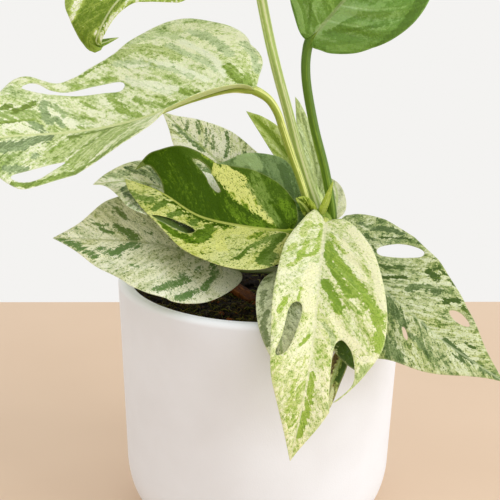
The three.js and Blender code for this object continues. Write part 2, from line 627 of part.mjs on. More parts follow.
// Soil, with a hole for the stem and a hollow for the chip
const soilRim = innerRadius - GAP - wallPerHeight * (POT_HEIGHT - SOIL_TOP);
const soilBlock = turned([
  [0, POT_FLOOR + GAP],
  ...cavityPoints.map(([radius, height]) => [radius - GAP, height + GAP]),
  [soilRim, SOIL_TOP],
  ...SOIL_RINGS.map((radius) => [radius, SOIL_TOP]),
  [0, SOIL_TOP],
], SOIL_SIDES);
const soilSwell = (x, y, z) => {
  const rough = Math.sin(x / 9) * Math.cos(y / 7) + 0.5 * Math.sin((x - y) / 5);
  return z > SOIL_TOP - 0.5 ? SOIL_SWELL * rough : 0;
};
const stemHoleFoot = [STEM_FOOT[0], STEM_FOOT[1], STEM_FOOT[2] - GAP];
const soil = solidOf(raised(soilBlock, soilSwell))
  .subtract(stemTube(GAP, stemHoleFoot))
  .subtract(solidOf(barkShape(GAP)));
place("soil", geometryOf(soil), 0x2c231b, 0.95);

// Leaves, each one body with its stalk
for (const leaf of leaves) {
  const stalk = solidOf(tube(leaf.route, leaf.stalk.radius, STALK_SIDES));
  place(leaf.name, geometryOf(solidOf(bladeGeometry(leaf)).add(stalk)), leaf.colour, 0.4);
}

export default parts;
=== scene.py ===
"""A marble king pothos in a plain white pot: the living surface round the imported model.
Drawings and sizes are in millimetres, as in the part; meshes are made in metres."""
import math
import random

import bmesh
import bpy
import numpy as np
from mathutils import Matrix, Vector, noise
from mathutils.geometry import delaunay_2d_cdt


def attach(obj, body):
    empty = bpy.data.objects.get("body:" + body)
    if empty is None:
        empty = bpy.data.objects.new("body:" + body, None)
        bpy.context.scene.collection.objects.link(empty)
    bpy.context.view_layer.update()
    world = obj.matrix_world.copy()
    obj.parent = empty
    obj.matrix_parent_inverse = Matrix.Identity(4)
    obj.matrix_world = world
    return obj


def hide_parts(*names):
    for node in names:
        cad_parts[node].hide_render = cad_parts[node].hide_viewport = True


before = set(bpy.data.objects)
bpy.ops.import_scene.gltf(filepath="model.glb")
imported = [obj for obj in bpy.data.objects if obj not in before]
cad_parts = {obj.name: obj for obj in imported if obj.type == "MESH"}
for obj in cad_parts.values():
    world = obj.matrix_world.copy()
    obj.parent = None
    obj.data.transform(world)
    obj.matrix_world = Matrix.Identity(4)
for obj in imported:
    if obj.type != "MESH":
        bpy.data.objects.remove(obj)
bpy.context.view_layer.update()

MM = 0.001

# Camera, from the photograph's 500 by 500 frame
CAMERA_PLACE = (0, -542.75, 304.5)
CAMERA_PITCH = math.radians(17.95)
CAMERA_YAW = math.radians(-0.53)
CAMERA_ROLL = math.radians(0.85)
CAMERA_LENS = 90
CAMERA_SENSOR = 36

# Table
TABLE_BACK = 279.4
TABLE_TURN = math.radians(3.1)
TABLE_SIZE = 3000
TABLE_DEPTH = 20

# Light
SKY_COLOUR = (244, 243, 241)
SKY_STRENGTH = 1.0
LAMP_PLACE = (0.95, -0.5, 0.55)
LAMP_AIM = (0, 0, 0.13)
LAMP_SIZE = 0.8
LAMP_POWER = 6.2
LAMP_COLOUR = (0.95, 0.98, 1.0)

# Pot
POT_RADIUS = 65
POT_HEIGHT = 116
POT_WALL = 4
POT_FLOOR = 7
POT_FOOT_RADIUS = 36
POT_CORNER_TOP = 27
POT_CORNER_RADIUS = 61.9
POT_CORNER_PULL = [(52, 0), (60.4, 9)]
CAVITY_CORNER_PULL = [(48.1, 7), (56.9, 14)]
CAVITY_CORNER_TOP = 30
LIP_TOP = 117.2
LIP_WIDTH = 6.2
LIP_ROUND = 2.7
LIP_STEPS = 9
# Heights over which the top of the lip turns paler: painted light, where the lip's top faces the light from
# above
LIP_PAINTED_LIGHT_FROM = 114.2
LIP_PAINTED_LIGHT_FULL = 116.4
UNDER_LIP = [(0.1, 112.6), (0.9, 110.8), (1.9, 109.6)]
POT_SIDES = 256
CORNER_STEPS = 24
WALL_STEPS = 12
BASE_RADII = (12, 24)
FLOOR_RADII = (22, 11)

# Soil
SOIL_TOP = 108
SOIL_GAP = 0.3
SOIL_SWELL = 0.9
SOIL_RINGS = 110
SOIL_SIDES = 300
SOIL_SHOULDER = 0.6
SOIL_SHOULDER_HEIGHT = 80
SOIL_LUMPS = [(1.1, 9, 1.5), (0.8, 3.2, 7.5), (0.3, 1.3, 4.5)]
CHIP_REACH = 12
CHIP_HOLLOW = 0.8
CHIP_CALM = 0.75
CRUMBS = 1100
CRUMB_SIZES = (0.35, 1.1)
CRUMB_VARIETY = (0.8, 1.5)
CRUMB_STRETCH = [(0.7, 1.7), (0.6, 1.1), (0.5, 0.9)]
CRUMB_SPIN = 6.28
CRUMB_TONES = (-0.4, 0.7)
CRUMB_MARGIN = 2
RUSTY_SHARE = 0.1

# Dry moss
MOSS_THREADS = 2600
MOSS_MARGIN = 1.6
THREAD_SIDES = 3
THREAD_POINTS = 5
THREAD_LENGTHS = (1.6, 5.5)
THREAD_BEND = 1.2
THREAD_LIFTS = (0.2, 1.4)
THREAD_RADII = (0.1, 0.24)
STRAW_SHARE = 0.35

# Bark chip
BARK_OUTLINE = [(-12, -2), (-9, -3.2), (4, -2.6), (11, -3), (12.5, 0.5), (10, 2.8), (-3, 3.2), (-11, 2.4)]
BARK_LEVELS = [(-1, 0.5), (-1, 0.92), (-0.7, 1), (0, 1.02), (0.7, 1), (1, 0.92), (1, 0.5)]
BARK_DEPTH = 2.4
BARK_CROWN = 0.25
BARK_RIDGE = 0.28
BARK_WANDER = 0.2
BARK_TILT = 0.12
BARK_TURN = -1.1
BARK_PLACE = (-8, -3, 108.6)

# Vine stem
STEM_RADIUS = 6
STEM_FOOT = (28, 2, 90)
STEM_TIP = (27.1, 1.1, 142.5)
STEM_SIDES = 48
STEM_RINGS = 60
STEM_SLIM = 0.93
SCAR_RISE = 0.07
SCAR_SPACING = 13
SCAR_WIDTH = 1.1
STEM_LUMPS = 0.04
WOODY_UP_TO = 138
WOODY_FULL = 130
SOCKET_DEPTH = 2.6
CROWN_RINGS = np.linspace(0.12, 0.97, 9)
CROWN_SWELL = 0.3
CROWN_MIDDLE = 46
CROWN_SPREAD = 6

# Leaves
BLADE_THICKNESS = 0.6
BLADE_STEP = 1.5
MARGIN_STEP = 0.9
STALK_SIDES = 20
STALK_STEP = 1.6
SPAN_STEPS = 16
STALK_OUT = 3
STALK_RISE = 2
STALK_AHEAD = 4
FOOT_FLARE = 0.3
FOOT_FLARE_REACH = 6
JOINT_FLARE = 0.12
JOINT_FLARE_REACH = 4
GROOVE_DEPTH = 0.16
GROOVE_WIDTH = 0.55
RIB_END = 3
RIB_TIP = 0.14
RIB_JOINT = 0.72
RIB_TAPER = 1.4
RIB_ROUND = 1.2
RIB_SINK = 0.85
RIB_COVER = 0.25
EDGE_ROUND = 0.12
EDGE_REACH = 1.6
EDGE_SHARE = 0.4
BASE_FAN = 0.12
VEIN_BEFORE = -40.0
VEIN_BEYOND = 30
VEIN_ROUNDS = 30
QUILT_SHARPNESS = 0.8
QUILT_LEVEL = 0.6
QUILT_REACH = 7
FURROW_DEPTH = 0.35
FURROW_WIDTH = 1.1
WAVE_HEIGHT = 0.3
LEAF_LAYERS = ["flat", "vein", "paint", "sheet"]

# What a leaf has where its own look gives nothing else. fleck is the number of small green dashes, curl the
# bend of its side veins, rough the raggedness of its plain patches. streaky, patchy and mottled weigh the
# noises, dip sinks the stalk's end, and under is how far its underside turns to which colour.
PLAIN_LOOK = dict(
    fleck=0.0, curl=0.0, rough=1.0, streaky=1.5, patchy=1.4, mottled=1.0, spacing=7.5, quilt=0.45, vein=0.12,
    rib=0.6, rib_wide=1.0, rim=0.3, shine=0.3, dip=0.4, under=(0.45, (176, 196, 140)),
)
MARBLE_STOPS = (0.1, 0.24, 0.42, 0.5, 0.62, 0.7, 0.86, 1)

# Each blade is drawn flat: x runs along its midrib from the stalk joint, and y is the distance out from the
# midrib. rib bends the midrib in space, face is the way its upper side looks, and fold tips the left and
# the right half towards that side in degrees. A margin is a list of strokes with a corner between each, and a
# hole lies on the right half with 1 and on the left with -1. The stalk runs by the points of via, or else
# from its seat, a height and an azimuth at the stem, and straight over the last stretch, lead, to the joint.
LEAVES = dict(
    leaf_left=dict(
        rib=[(-3.5, -4, 203.5), (-14, -6, 204.5), (-31.5, -9, 199.5), (-53, -14, 191.5), (-78, -20, 187),
            (-110.5, -30, 186), (-125.5, -36, 183)],
        face=[(0.05, -0.17, 0.98), (0, -0.25, 0.97), (0, -0.4, 0.92), (0, -0.4, 0.92)],
        fold=([26, 28, 30, 21, 6, 0, -2], [26, 24, 12, 4]),
        left=[[(2, 4), (6, 13), (12, 22), (20, 30), (32, 36), (47, 38), (62, 36), (78, 34.5), (92, 35),
            (104, 36.4), (110, 36), (115, 32), (121, 24), (126, 11), (129.4, 0)]],
        right=[[(-2, 8), (-4.6, 17.5), (-3, 24), (1.4, 30), (9, 39), (17.5, 45.8), (26, 47.4), (35, 45.2),
            (46, 42.8), (66, 37), (75, 32.5), (84, 29.8), (90, 32), (97, 36.5), (103, 35.5), (109, 29),
            (117, 19), (124, 9), (129.4, 0)]],
        holes=[(1, [(100, 29.2), (97, 31.8), (92.8, 30.6), (87.5, 25.8), (80.5, 23.6), (68, 24.8),
            (57, 24.6), (54, 22), (57, 18.8), (65, 20), (78, 20.7), (90, 24)]), (-1, [(113.4, 28),
            (111, 25.8), (103, 24.8), (93, 23.6), (88.8, 24.2), (94, 28.2), (102, 32.6), (109, 32)])],
        via=[(24, 0.6, 137), (22.5, 0, 144), (18.5, -1, 158.5), (13, -1, 173.5), (9, -2, 185),
            (6, -3, 193.5), (2, -3.7, 199.5)],
        radius=1.9, taper=4,
    ),
    leaf_top_left=dict(
        rib=[(-8, 18, 255.5), (-22.5, 8, 259), (-38.5, 0, 257), (-52.5, -6, 249.5), (-63, -12, 240.2),
            (-69, -16, 230.2), (-70.5, -15, 223.8), (-63, -8, 225.4)],
        face=[(0, -0.3, 0.95), (-0.1, -0.5, 0.8), (-0.4, -0.8, 0.5), (-0.5, -0.85, 0.3), (-0.4, -0.8, 0.3)],
        fold=([10], [15]),
        left=[[(2, 4), (6, 13), (15, 22), (29, 26.5), (46, 25.4), (52, 21.2), (59.5, 13.3), (63.5, 7.9),
            (70, 5.4), (79, 3.7), (90, 2.4), (99.4, 0)]],
        right=[[(-4, 8), (1, 18), (14, 26), (30, 29), (48, 28), (64, 25), (76, 20.4), (82.5, 14.6),
            (86.4, 9), (87.6, 6), (88.2, 3.6), (89.4, 2), (92.5, 1.4), (99.4, 0)]],
        holes=[(-1, [(60.5, 4.5), (54, 8), (47, 13.5), (44.5, 17), (47.5, 17), (53, 12.5), (58.5, 8)])],
        via=[(27, 4, 136), (26.5, 5.2, 144), (20.5, 7, 161), (15.5, 9, 176), (11, 11, 191.5),
            (6.5, 13, 206.5), (2.5, 15, 221.5), (-1.5, 17, 239.5), (-3.5, 18, 250)],
        radius=2.5,
    ),
    leaf_top_right=dict(
        rib=[(19, 4, 223), (31, -2.5, 239), (46, -9, 258.5), (59, -14, 287.5)],
        face=[(0.2, -0.75, 0.6), (0.1, -0.85, 0.5)],
        fold=([10], [10]),
        left=[[(0.5, 5), (4, 11), (10, 19), (18, 25), (29, 28), (41, 27.5), (53, 23), (64, 15), (73, 6.5),
            (79.1, 0)]],
        right=[[(0, 3), (1.8, 6.2), (5.4, 11.8), (14, 19.8), (24, 25.2), (33, 28.2), (42, 28.8), (52, 25.5),
            (62, 18), (71, 8.5), (79.1, 0)]],
        via=[(30.6, 0.8, 137), (32, 0.5, 143.5), (28.5, 1, 164.5), (22.5, 2, 186.5), (18.5, 3, 207),
            (18.2, 3.9, 217)],
        radius=2.05,
    ),
    leaf_front=dict(
        rib=[(28.5, -10, 146), (26, -34, 138), (23.5, -60, 128), (21.5, -76, 115), (19, -87, 101),
            (13, -97, 72.5)],
        face=[(0.1, -0.62, 0.78), (0.1, -0.7, 0.7), (0.1, -0.8, 0.6), (0.1, -0.87, 0.5)],
        fold=([12, 12, 10, 8], [12, 12, 10, 8]),
        left=[[(-2.3, 7), (3, 13), (11.5, 17.7), (22, 22), (33, 24.7), (46, 27), (56, 28.4), (65, 29),
            (76, 27.5), (86.5, 21), (95, 14), (97, 11.6)], [(92, 16.2), (88, 18.2), (82, 17.6), (76, 15.4),
            (72.2, 11.6), (75, 8.8), (84.5, 8.4), (95, 9.5), (101, 10.9)], [(108, 7.8), (115, 4),
            (119.5, 1.6), (123.1, 0)]],
        right=[[(-6, 5), (-1.5, 8.2), (7, 11.2), (16, 14.2), (24, 16.3), (32, 17.5), (47, 18.4), (62, 18.8),
            (79, 17.2), (91, 15), (104, 9), (113, 4.6), (123.1, 0)]],
        holes=[(1, [(58, 8.5), (60.5, 5.8), (72, 7.5), (80, 10), (83.2, 13.2), (82, 15), (74, 13.2),
            (62, 11.6)])],
        via=[(28, -1.5, 140), (28.6, -5.4, 145.2)],
        radius=1.8,
    ),
    leaf_right=dict(
        rib=[(34, -16, 140), (42, -30, 134), (52.5, -44, 126), (66.5, -55, 117), (75.5, -61, 110.5),
            (88, -66, 103.5), (100.5, -70, 96.5)],
        face=[(0.25, -0.72, 0.72), (0.4, -0.7, 0.7), (0.45, -0.75, 0.6)],
        fold=([8], [2, -2, -12, -10, -8]),
        left=[[(-10.5, 8), (-10.7, 13.2), (-8.7, 17.2), (-4, 21.7), (2.4, 25.5), (11.3, 28.4), (22.5, 29.9),
            (35.3, 29.9), (47, 27.9), (63, 21.5), (74.5, 16.9), (86, 8.1), (99.1, 0)]],
        right=[[(-5, 4), (-4, 8), (4, 13), (14, 20), (27, 30), (42.7, 36.4), (53.5, 36.2)], [(53, 33),
            (53.4, 29), (55, 26.4), (57.4, 25.5)], [(66.8, 18.8), (75, 13.6), (89.6, 4.4), (99.1, 0)]],
        holes=[(-1, [(15.3, 10.7), (14.2, 13.5), (16.3, 19), (20, 24.4), (24.5, 27.5), (28.4, 27.8),
            (30.2, 25), (27, 20), (22.5, 14.2), (18.5, 10.2)]), (-1, [(61.4, 13.4), (63.4, 15.6), (68, 16),
            (73, 14.8), (75.4, 13), (73.5, 11.6), (69.5, 11.2), (64.5, 11.8)]), (1, [(53.5, 7.8), (55, 7.3),
            (58.6, 9.3), (59.6, 10.9), (57, 10.6)])],
        seat=(133, -55), lead=6, radius=1.8,
    ),
    leaf_folded=dict(
        rib=[(12.5, -14, 142), (-7, -21, 146), (-27, -26, 152), (-43, -29, 163), (-58, -31, 169.5)],
        face=[(0, -0.55, 0.83), (0, -0.55, 0.83), (0, -0.6, 0.8)],
        fold=([16], [24]),
        left=[[(-4, 6), (-2, 14), (4, 20), (12.3, 25.5), (20, 30.5), (27.7, 32.4), (36, 31.4), (44, 27.4),
            (54, 21.5), (63, 18.4), (71, 13), (76.4, 5.8), (78.8, 0)]],
        right=[[(-4, 5), (-3.9, 12.9), (-2, 16.4), (4.8, 22.8), (15.5, 26.9), (29, 27), (46.6, 25.3),
            (57.4, 24.4), (63.3, 22.4), (68.6, 17.7), (72.8, 13.4), (75.8, 5.4)], [(73.2, 8), (71, 9.2),
            (68.6, 8.4), (64.2, 5), (62, 2), (61, 0.6)], [(68, 0.6), (78.8, 0)]],
        holes=[(1, [(57.5, 19.6), (54, 21.6), (42, 20.3), (35.5, 16), (34.7, 13.8), (37.2, 13.6),
            (45, 16.8)]), (-1, [(64, 16), (56, 11.6), (49, 9.4), (44.8, 9.8), (44.3, 12.4), (47.5, 15.4),
            (55, 16), (62, 17)])],
        seat=(136, -140), lead=6, radius=1.7,
    ),
    leaf_lower_left=dict(
        rib=[(-17, -24, 130), (-31, -27, 135), (-41.5, -30, 139.5), (-51, -33, 142), (-68.5, -37, 144),
            (-88, -40, 145.5)],
        face=[(0.1, -0.5, 0.86), (0, -0.5, 0.86)],
        fold=([8], [8]),
        left=[[(-8, 1.5), (-9.3, 6), (-6.2, 12.5), (0, 20.3), (7.3, 26.8), (15.2, 30.8), (24.5, 34),
            (31, 34.8), (37.6, 32.8), (44, 28.8), (48.5, 24.4), (57.4, 16.8), (67, 6.4), (75.1, 0)]],
        right=[[(-8, 3), (-8, 12), (-2, 20), (9, 26), (24, 28), (38, 26.5), (46, 23.8), (54.3, 19.2),
            (64, 8.4), (75.1, 0)]],
        seat=(118, -150), lead=8, radius=1.6,
    ),
    leaf_middle_left=dict(
        rib=[(-13.5, -6, 148.5), (-32, -11, 155.5), (-52, -20, 165), (-72, -28, 166)],
        face=[(0, -0.5, 0.86), (-0.1, -0.5, 0.86)],
        fold=([8], [8]),
        left=[[(-5, 4), (-5, 12), (4, 20), (18, 25), (34, 27), (48, 25.5), (55, 20), (57.4, 12), (59.4, 5),
            (62, 1), (66, 0)]],
        right=[[(-5, 4), (-3, 12), (8, 17), (24, 17.5), (36, 15), (47.5, 11.4), (56.7, 6.8), (61.5, 3.8),
            (66, 0)]],
        seat=(130, 175), lead=8, radius=1.6,
    ),
    leaf_back_pale=dict(
        rib=[(3, 16, 145.5), (-10.5, 24, 155), (-27, 32, 167.5), (-47.5, 38, 184)],
        face=[(0, -0.75, 0.66)],
        fold=([10], [10]),
        left=[[(-4, 5), (0, 12), (12, 17), (28, 17.5), (42, 14), (53, 9.2), (60, 4.4), (67.6, 0)]],
        right=[[(-4, 5), (0, 11), (10, 15), (24, 15.6), (38, 14.6), (52, 9), (61, 3.4), (67.6, 0)]],
        seat=(124, 130), lead=8, radius=1.6,
    ),
    leaf_back_round=dict(
        rib=[(15.5, 8, 147.5), (0, 12, 154), (-16, 16, 158), (-31, 20, 160)],
        face=[(0, -0.7, 0.7)],
        fold=([8], [8]),
        left=[[(-6, 0.6), (-9, 4), (-9, 8.6), (-3, 11), (4, 9.6), (11, 8.8), (20, 9.4), (32, 8), (42, 4.4),
            (49.9, 0)]],
        right=[[(-3, 3), (-1, 7.4), (5.9, 12.8), (13.8, 17.7), (21.7, 17.3), (31, 13.9), (38, 7.9),
            (44, 3.6), (49.9, 0)]],
        seat=(137, 150), lead=6, radius=1.6,
    ),
    leaf_back_olive=dict(
        rib=[(19, 22, 153.5), (11.5, 26, 165), (1.5, 30, 176.5), (-8, 34, 186)],
        face=[(0.3, -0.8, 0.5)],
        fold=([15], [15]),
        left=[[(-2, 2), (4, 4.4), (12, 5.4), (22, 4.6), (34, 2.4), (40, 1), (44.1, 0)]],
        right=[[(-2, 2), (4, 5), (16, 7.2), (28, 6.6), (37, 4), (41, 1.8), (44.1, 0)]],
        seat=(128, 95), lead=8, radius=1.5,
    ),
    leaf_back_narrow=dict(
        rib=[(26, 14, 151), (22.5, 18, 167), (18, 22, 182.5), (14.5, 24, 195)],
        face=[(0.2, -0.9, 0.3)],
        fold=([15], [15]),
        left=[[(-1, 2.4), (4, 4.6), (14, 5.4), (26, 4.4), (36, 2.4), (42, 1), (46.6, 0)]],
        right=[[(-1, 3), (4, 4.2), (14, 4.6), (27, 4.2), (36, 3), (43, 1.5), (46.6, 0)]],
        seat=(137, 85), lead=7, radius=2.1,
    ),
    leaf_back_small=dict(
        rib=[(33.5, 16, 141), (35, 22, 145.5), (35, 28, 150), (32.5, 34, 154.5)],
        face=[(0.2, -0.85, 0.5)],
        fold=([10], [10]),
        left=[[(-1, 2), (3, 5.6), (9, 7), (16, 5), (20, 2.4), (23.1, 0)]],
        right=[[(-1, 2), (3.2, 4.4), (8, 4.6), (14, 3.4), (19.5, 1.9), (23.1, 0)]],
        seat=(128, 35), lead=5, radius=1.4,
    ),
    leaf_under=dict(
        rib=[(15, -38, 133), (10, -59, 126.5), (8.5, -71, 115.5), (10.5, -75, 104), (15.5, -77, 90.5)],
        face=[(-0.2, -0.7, 0.7), (-0.3, -0.85, 0.5), (-0.3, -0.95, 0.3)],
        fold=([-6], [5]),
        left=[[(-4, 3), (0, 7), (8, 10.5), (18, 12), (30, 11.5), (42, 9), (54, 5), (66.3, 0)]],
        right=[[(-4, 3), (0, 6), (7.7, 10.8), (14, 12.1), (21.7, 12), (34.4, 9.4), (47, 5), (57, 2.4),
            (66.3, 0)]],
        seat=(122, -105), lead=8, radius=1.6,
    ),
    leaf_young=dict(
        rib=[(36, -60, 107.5), (33, -63, 100), (30, -67, 92.5), (26.6, -71, 77)],
        face=[(0.1, -0.95, 0.3)],
        fold=([20], [20]),
        left=[[(-1, 1.4), (3, 3), (10, 3.8), (18, 3.4), (26, 2.2), (32.6, 0)]],
        right=[[(-1, 1.4), (3, 3), (10, 3.8), (18, 3.4), (26, 2.2), (32.6, 0)]],
        via=[(30.5, -1.5, 114), (38, -28, 121), (39.5, -50.5, 118.9), (38, -57, 113)],
        radius=1.2,
    ),
)
SHEATHS = [
    dict(
        rib=[(27.2, -2.5, 146), (29.3, -4.4, 154), (31.2, -5.4, 162.5)],
        face=[(-0.2, -0.95, 0.2)],
        fold=([25], [25]),
        left=[[(2, 2.4), (8, 2.2), (13, 1.2), (18.3, 0)]],
        right=[[(2, 0.9), (8, 1.2), (13, 0.8), (18.3, 0)]],
    ),
    dict(
        rib=[(23, -1, 145), (19, -4.4, 151.5), (14.8, -6.6, 155.5)],
        face=[(-0.3, -0.8, 0.5)],
        fold=([25], [25]),
        left=[[(2, 2.6), (7, 2.8), (11, 1.6), (14.2, 0)]],
        right=[[(2, 3.2), (6, 4.4), (10, 4), (12.6, 2.4), (14.2, 0)]],
    ),
]


# Colours of each leaf as photographed, from pale to dark, cool green first and then warm green. bias is how
# green it is on the whole, veins the slope of its side veins at the joint and at the tip.
LOOKS = dict(
    leaf_left=dict(
        cool=[(251, 255, 226), (211, 225, 176), (166, 188, 131), (118, 139, 84)],
        warm=[(251, 254, 218), (210, 223, 152), (156, 183, 84), (112, 136, 40)],
        bias=(0.42, 0.36), fleck=0.7, hue=0.8, veins=(0.35, 1.1), curl=0.008, seed=1, streaky=0.9,
        rough=1.1, under=(0.8, (216, 228, 152)), rib=1.0, rib_wide=1.5, rib_colour=(222, 230, 164),
        stalk=[(222, 227, 138), (152, 170, 64)],
    ),
    leaf_top_left=dict(
        cool=[(253, 254, 234), (187, 208, 104), (150, 174, 74), (98, 127, 30)],
        warm=[(253, 254, 229), (185, 205, 98), (151, 174, 64), (101, 130, 11)],
        bias=(0.5, 0.5), fleck=0.4, hue=0.9, veins=(0.6, 1.6), curl=0.004, seed=2,
        stalk=[(228, 234, 178), (177, 200, 106)],
    ),
    leaf_top_right=dict(
        cool=[(186, 221, 154), (147, 186, 106), (110, 152, 55), (80, 119, 20)],
        warm=[(182, 218, 142), (138, 182, 76), (106, 150, 44), (80, 119, 10)],
        bias=(0.66, 0.66), hue=0.5, veins=(0.5, 1.2), curl=0.008, seed=3, quilt=1.7, spacing=9, rough=0.45,
        mottled=0.4, streaky=0.5, patchy=0.9, shine=0.45, rib=0.4, rib_colour=(176, 190, 140),
        stalk=[(125, 154, 42), (84, 118, 12)],
    ),
    leaf_front=dict(
        cool=[(241, 243, 207), (212, 221, 163), (170, 187, 120), (137, 157, 86)],
        warm=[(244, 242, 197), (210, 218, 140), (160, 187, 68), (118, 151, 36)],
        bias=(0.36, 0.34), fleck=1.1, hue=0.6, veins=(1.1, 1.8), seed=4, streaky=0.95, patchy=0.9,
        quilt=0.8, spacing=9.5, dip=1.0, rib_colour=(240, 238, 196),
        stalk=[(216, 220, 130), (178, 194, 84)],
    ),
    leaf_right=dict(
        cool=[(215, 222, 184), (187, 196, 142), (130, 150, 92), (76, 101, 42)],
        warm=[(214, 220, 176), (182, 190, 118), (112, 136, 44), (62, 89, 8)],
        bias=(0.44, 0.44), fleck=1.2, hue=0.6, veins=(1.0, 1.7), seed=5, rough=1.15, patchy=1.2, rib=0.45,
        rib_colour=(198, 209, 162), stalk=[(180, 200, 96), (140, 170, 60)],
    ),
    leaf_folded=dict(
        cool=[(214, 218, 162), (182, 191, 120), (118, 142, 66), (82, 110, 30)],
        warm=[(212, 215, 128), (180, 188, 82), (102, 134, 28), (57, 84, 5)],
        bias=(0.32, 0.95), fleck=1.7, hue=0.6, veins=(0.6, 1.3), curl=0.004, seed=6, shine=0.04, rim=0.25,
        rough=0.85, streaky=1.0, patchy=1.0, vein=0.04, rib_colour=(206, 212, 110),
        stalk=[(190, 204, 70), (140, 166, 36)],
    ),
    leaf_lower_left=dict(
        cool=[(240, 241, 216), (206, 212, 170), (154, 172, 120), (98, 131, 68)],
        warm=[(240, 240, 204), (202, 207, 150), (156, 168, 98), (108, 124, 44)],
        bias=(0.31, 0.31), fleck=1.3, hue=0.35, veins=(0.5, 1.5), curl=0.006, seed=7, rough=1.6,
        mottled=0.8, streaky=1.0, patchy=0.7, stalk=[(172, 179, 127), (129, 150, 86)],
    ),
    leaf_middle_left=dict(
        cool=[(254, 255, 242), (220, 232, 196), (176, 194, 146), (84, 112, 66)],
        warm=[(252, 254, 226), (216, 226, 172), (174, 186, 116), (76, 98, 34)],
        bias=(0.3, 0.3), fleck=1.1, hue=0.3, veins=(0.6, 1.4), curl=0.004, seed=8, rough=1.4,
        stalk=[(160, 180, 90), (120, 150, 60)],
    ),
    leaf_back_pale=dict(
        cool=[(255, 255, 236), (230, 237, 196), (174, 189, 140), (100, 130, 70)],
        warm=[(255, 255, 238), (234, 239, 188), (182, 189, 118), (121, 139, 56)],
        bias=(0.24, 0.24), fleck=1.2, hue=0.4, veins=(0.6, 1.4), curl=0.004, seed=9, rough=1.4,
        stalk=[(170, 190, 100), (130, 160, 70)],
    ),
    leaf_back_round=dict(
        cool=[(190, 216, 158), (168, 194, 132), (138, 166, 106), (98, 128, 68)],
        warm=[(192, 217, 143), (159, 183, 112), (132, 158, 92), (107, 134, 20)],
        bias=(0.76, 0.76), hue=0.1, veins=(0.5, 1.2), curl=0.008, seed=10, rough=0.6, mottled=0.6,
        streaky=0.6, patchy=0.9, stalk=[(110, 150, 60), (84, 124, 40)],
    ),
    leaf_back_olive=dict(
        cool=[(224, 234, 186), (200, 214, 146), (170, 190, 98), (130, 156, 50)],
        warm=[(222, 232, 166), (198, 212, 124), (166, 186, 78), (126, 152, 36)],
        bias=(0.62, 0.62), hue=0.8, veins=(2.2, 3.0), seed=11, rough=0.7, streaky=0.7, patchy=0.8,
        stalk=[(170, 190, 90), (140, 168, 60)],
    ),
    leaf_back_narrow=dict(
        cool=[(208, 221, 173), (182, 198, 139), (156, 173, 108), (135, 151, 90)],
        warm=[(208, 221, 163), (182, 197, 129), (156, 173, 98), (135, 151, 78)],
        bias=(0.45, 0.45), fleck=0.1, hue=0.4, veins=(2.5, 4.0), seed=12,
        stalk=[(200, 214, 140), (160, 186, 96)],
    ),
    leaf_back_small=dict(
        cool=[(215, 217, 182), (199, 203, 164), (177, 183, 141), (149, 158, 115)],
        warm=[(215, 217, 174), (199, 203, 153), (177, 183, 129), (149, 158, 103)],
        bias=(0.4, 0.4), fleck=0.1, hue=0.4, veins=(1.5, 2.5), seed=13,
        stalk=[(170, 190, 100), (130, 160, 70)],
    ),
    leaf_under=dict(
        cool=[(226, 235, 194), (205, 213, 171), (187, 197, 153), (115, 132, 81)],
        warm=[(226, 235, 188), (206, 213, 164), (189, 197, 139), (120, 136, 66)],
        bias=(0.32, 0.32), fleck=1.5, hue=0.2, veins=(0.6, 1.4), curl=0.004, seed=14,
        stalk=[(140, 170, 80), (110, 144, 56)],
    ),
    leaf_young=dict(
        cool=[(232, 228, 180), (188, 178, 118), (124, 110, 50), (72, 58, 18)],
        warm=[(226, 236, 178), (188, 204, 120), (124, 150, 64), (64, 92, 24)],
        bias=(0.6, 0.6), fleck=0.6, hue=0.6, veins=(2.5, 4.0), seed=15,
        stalk=[(120, 150, 60), (96, 120, 44)],
    ),
)

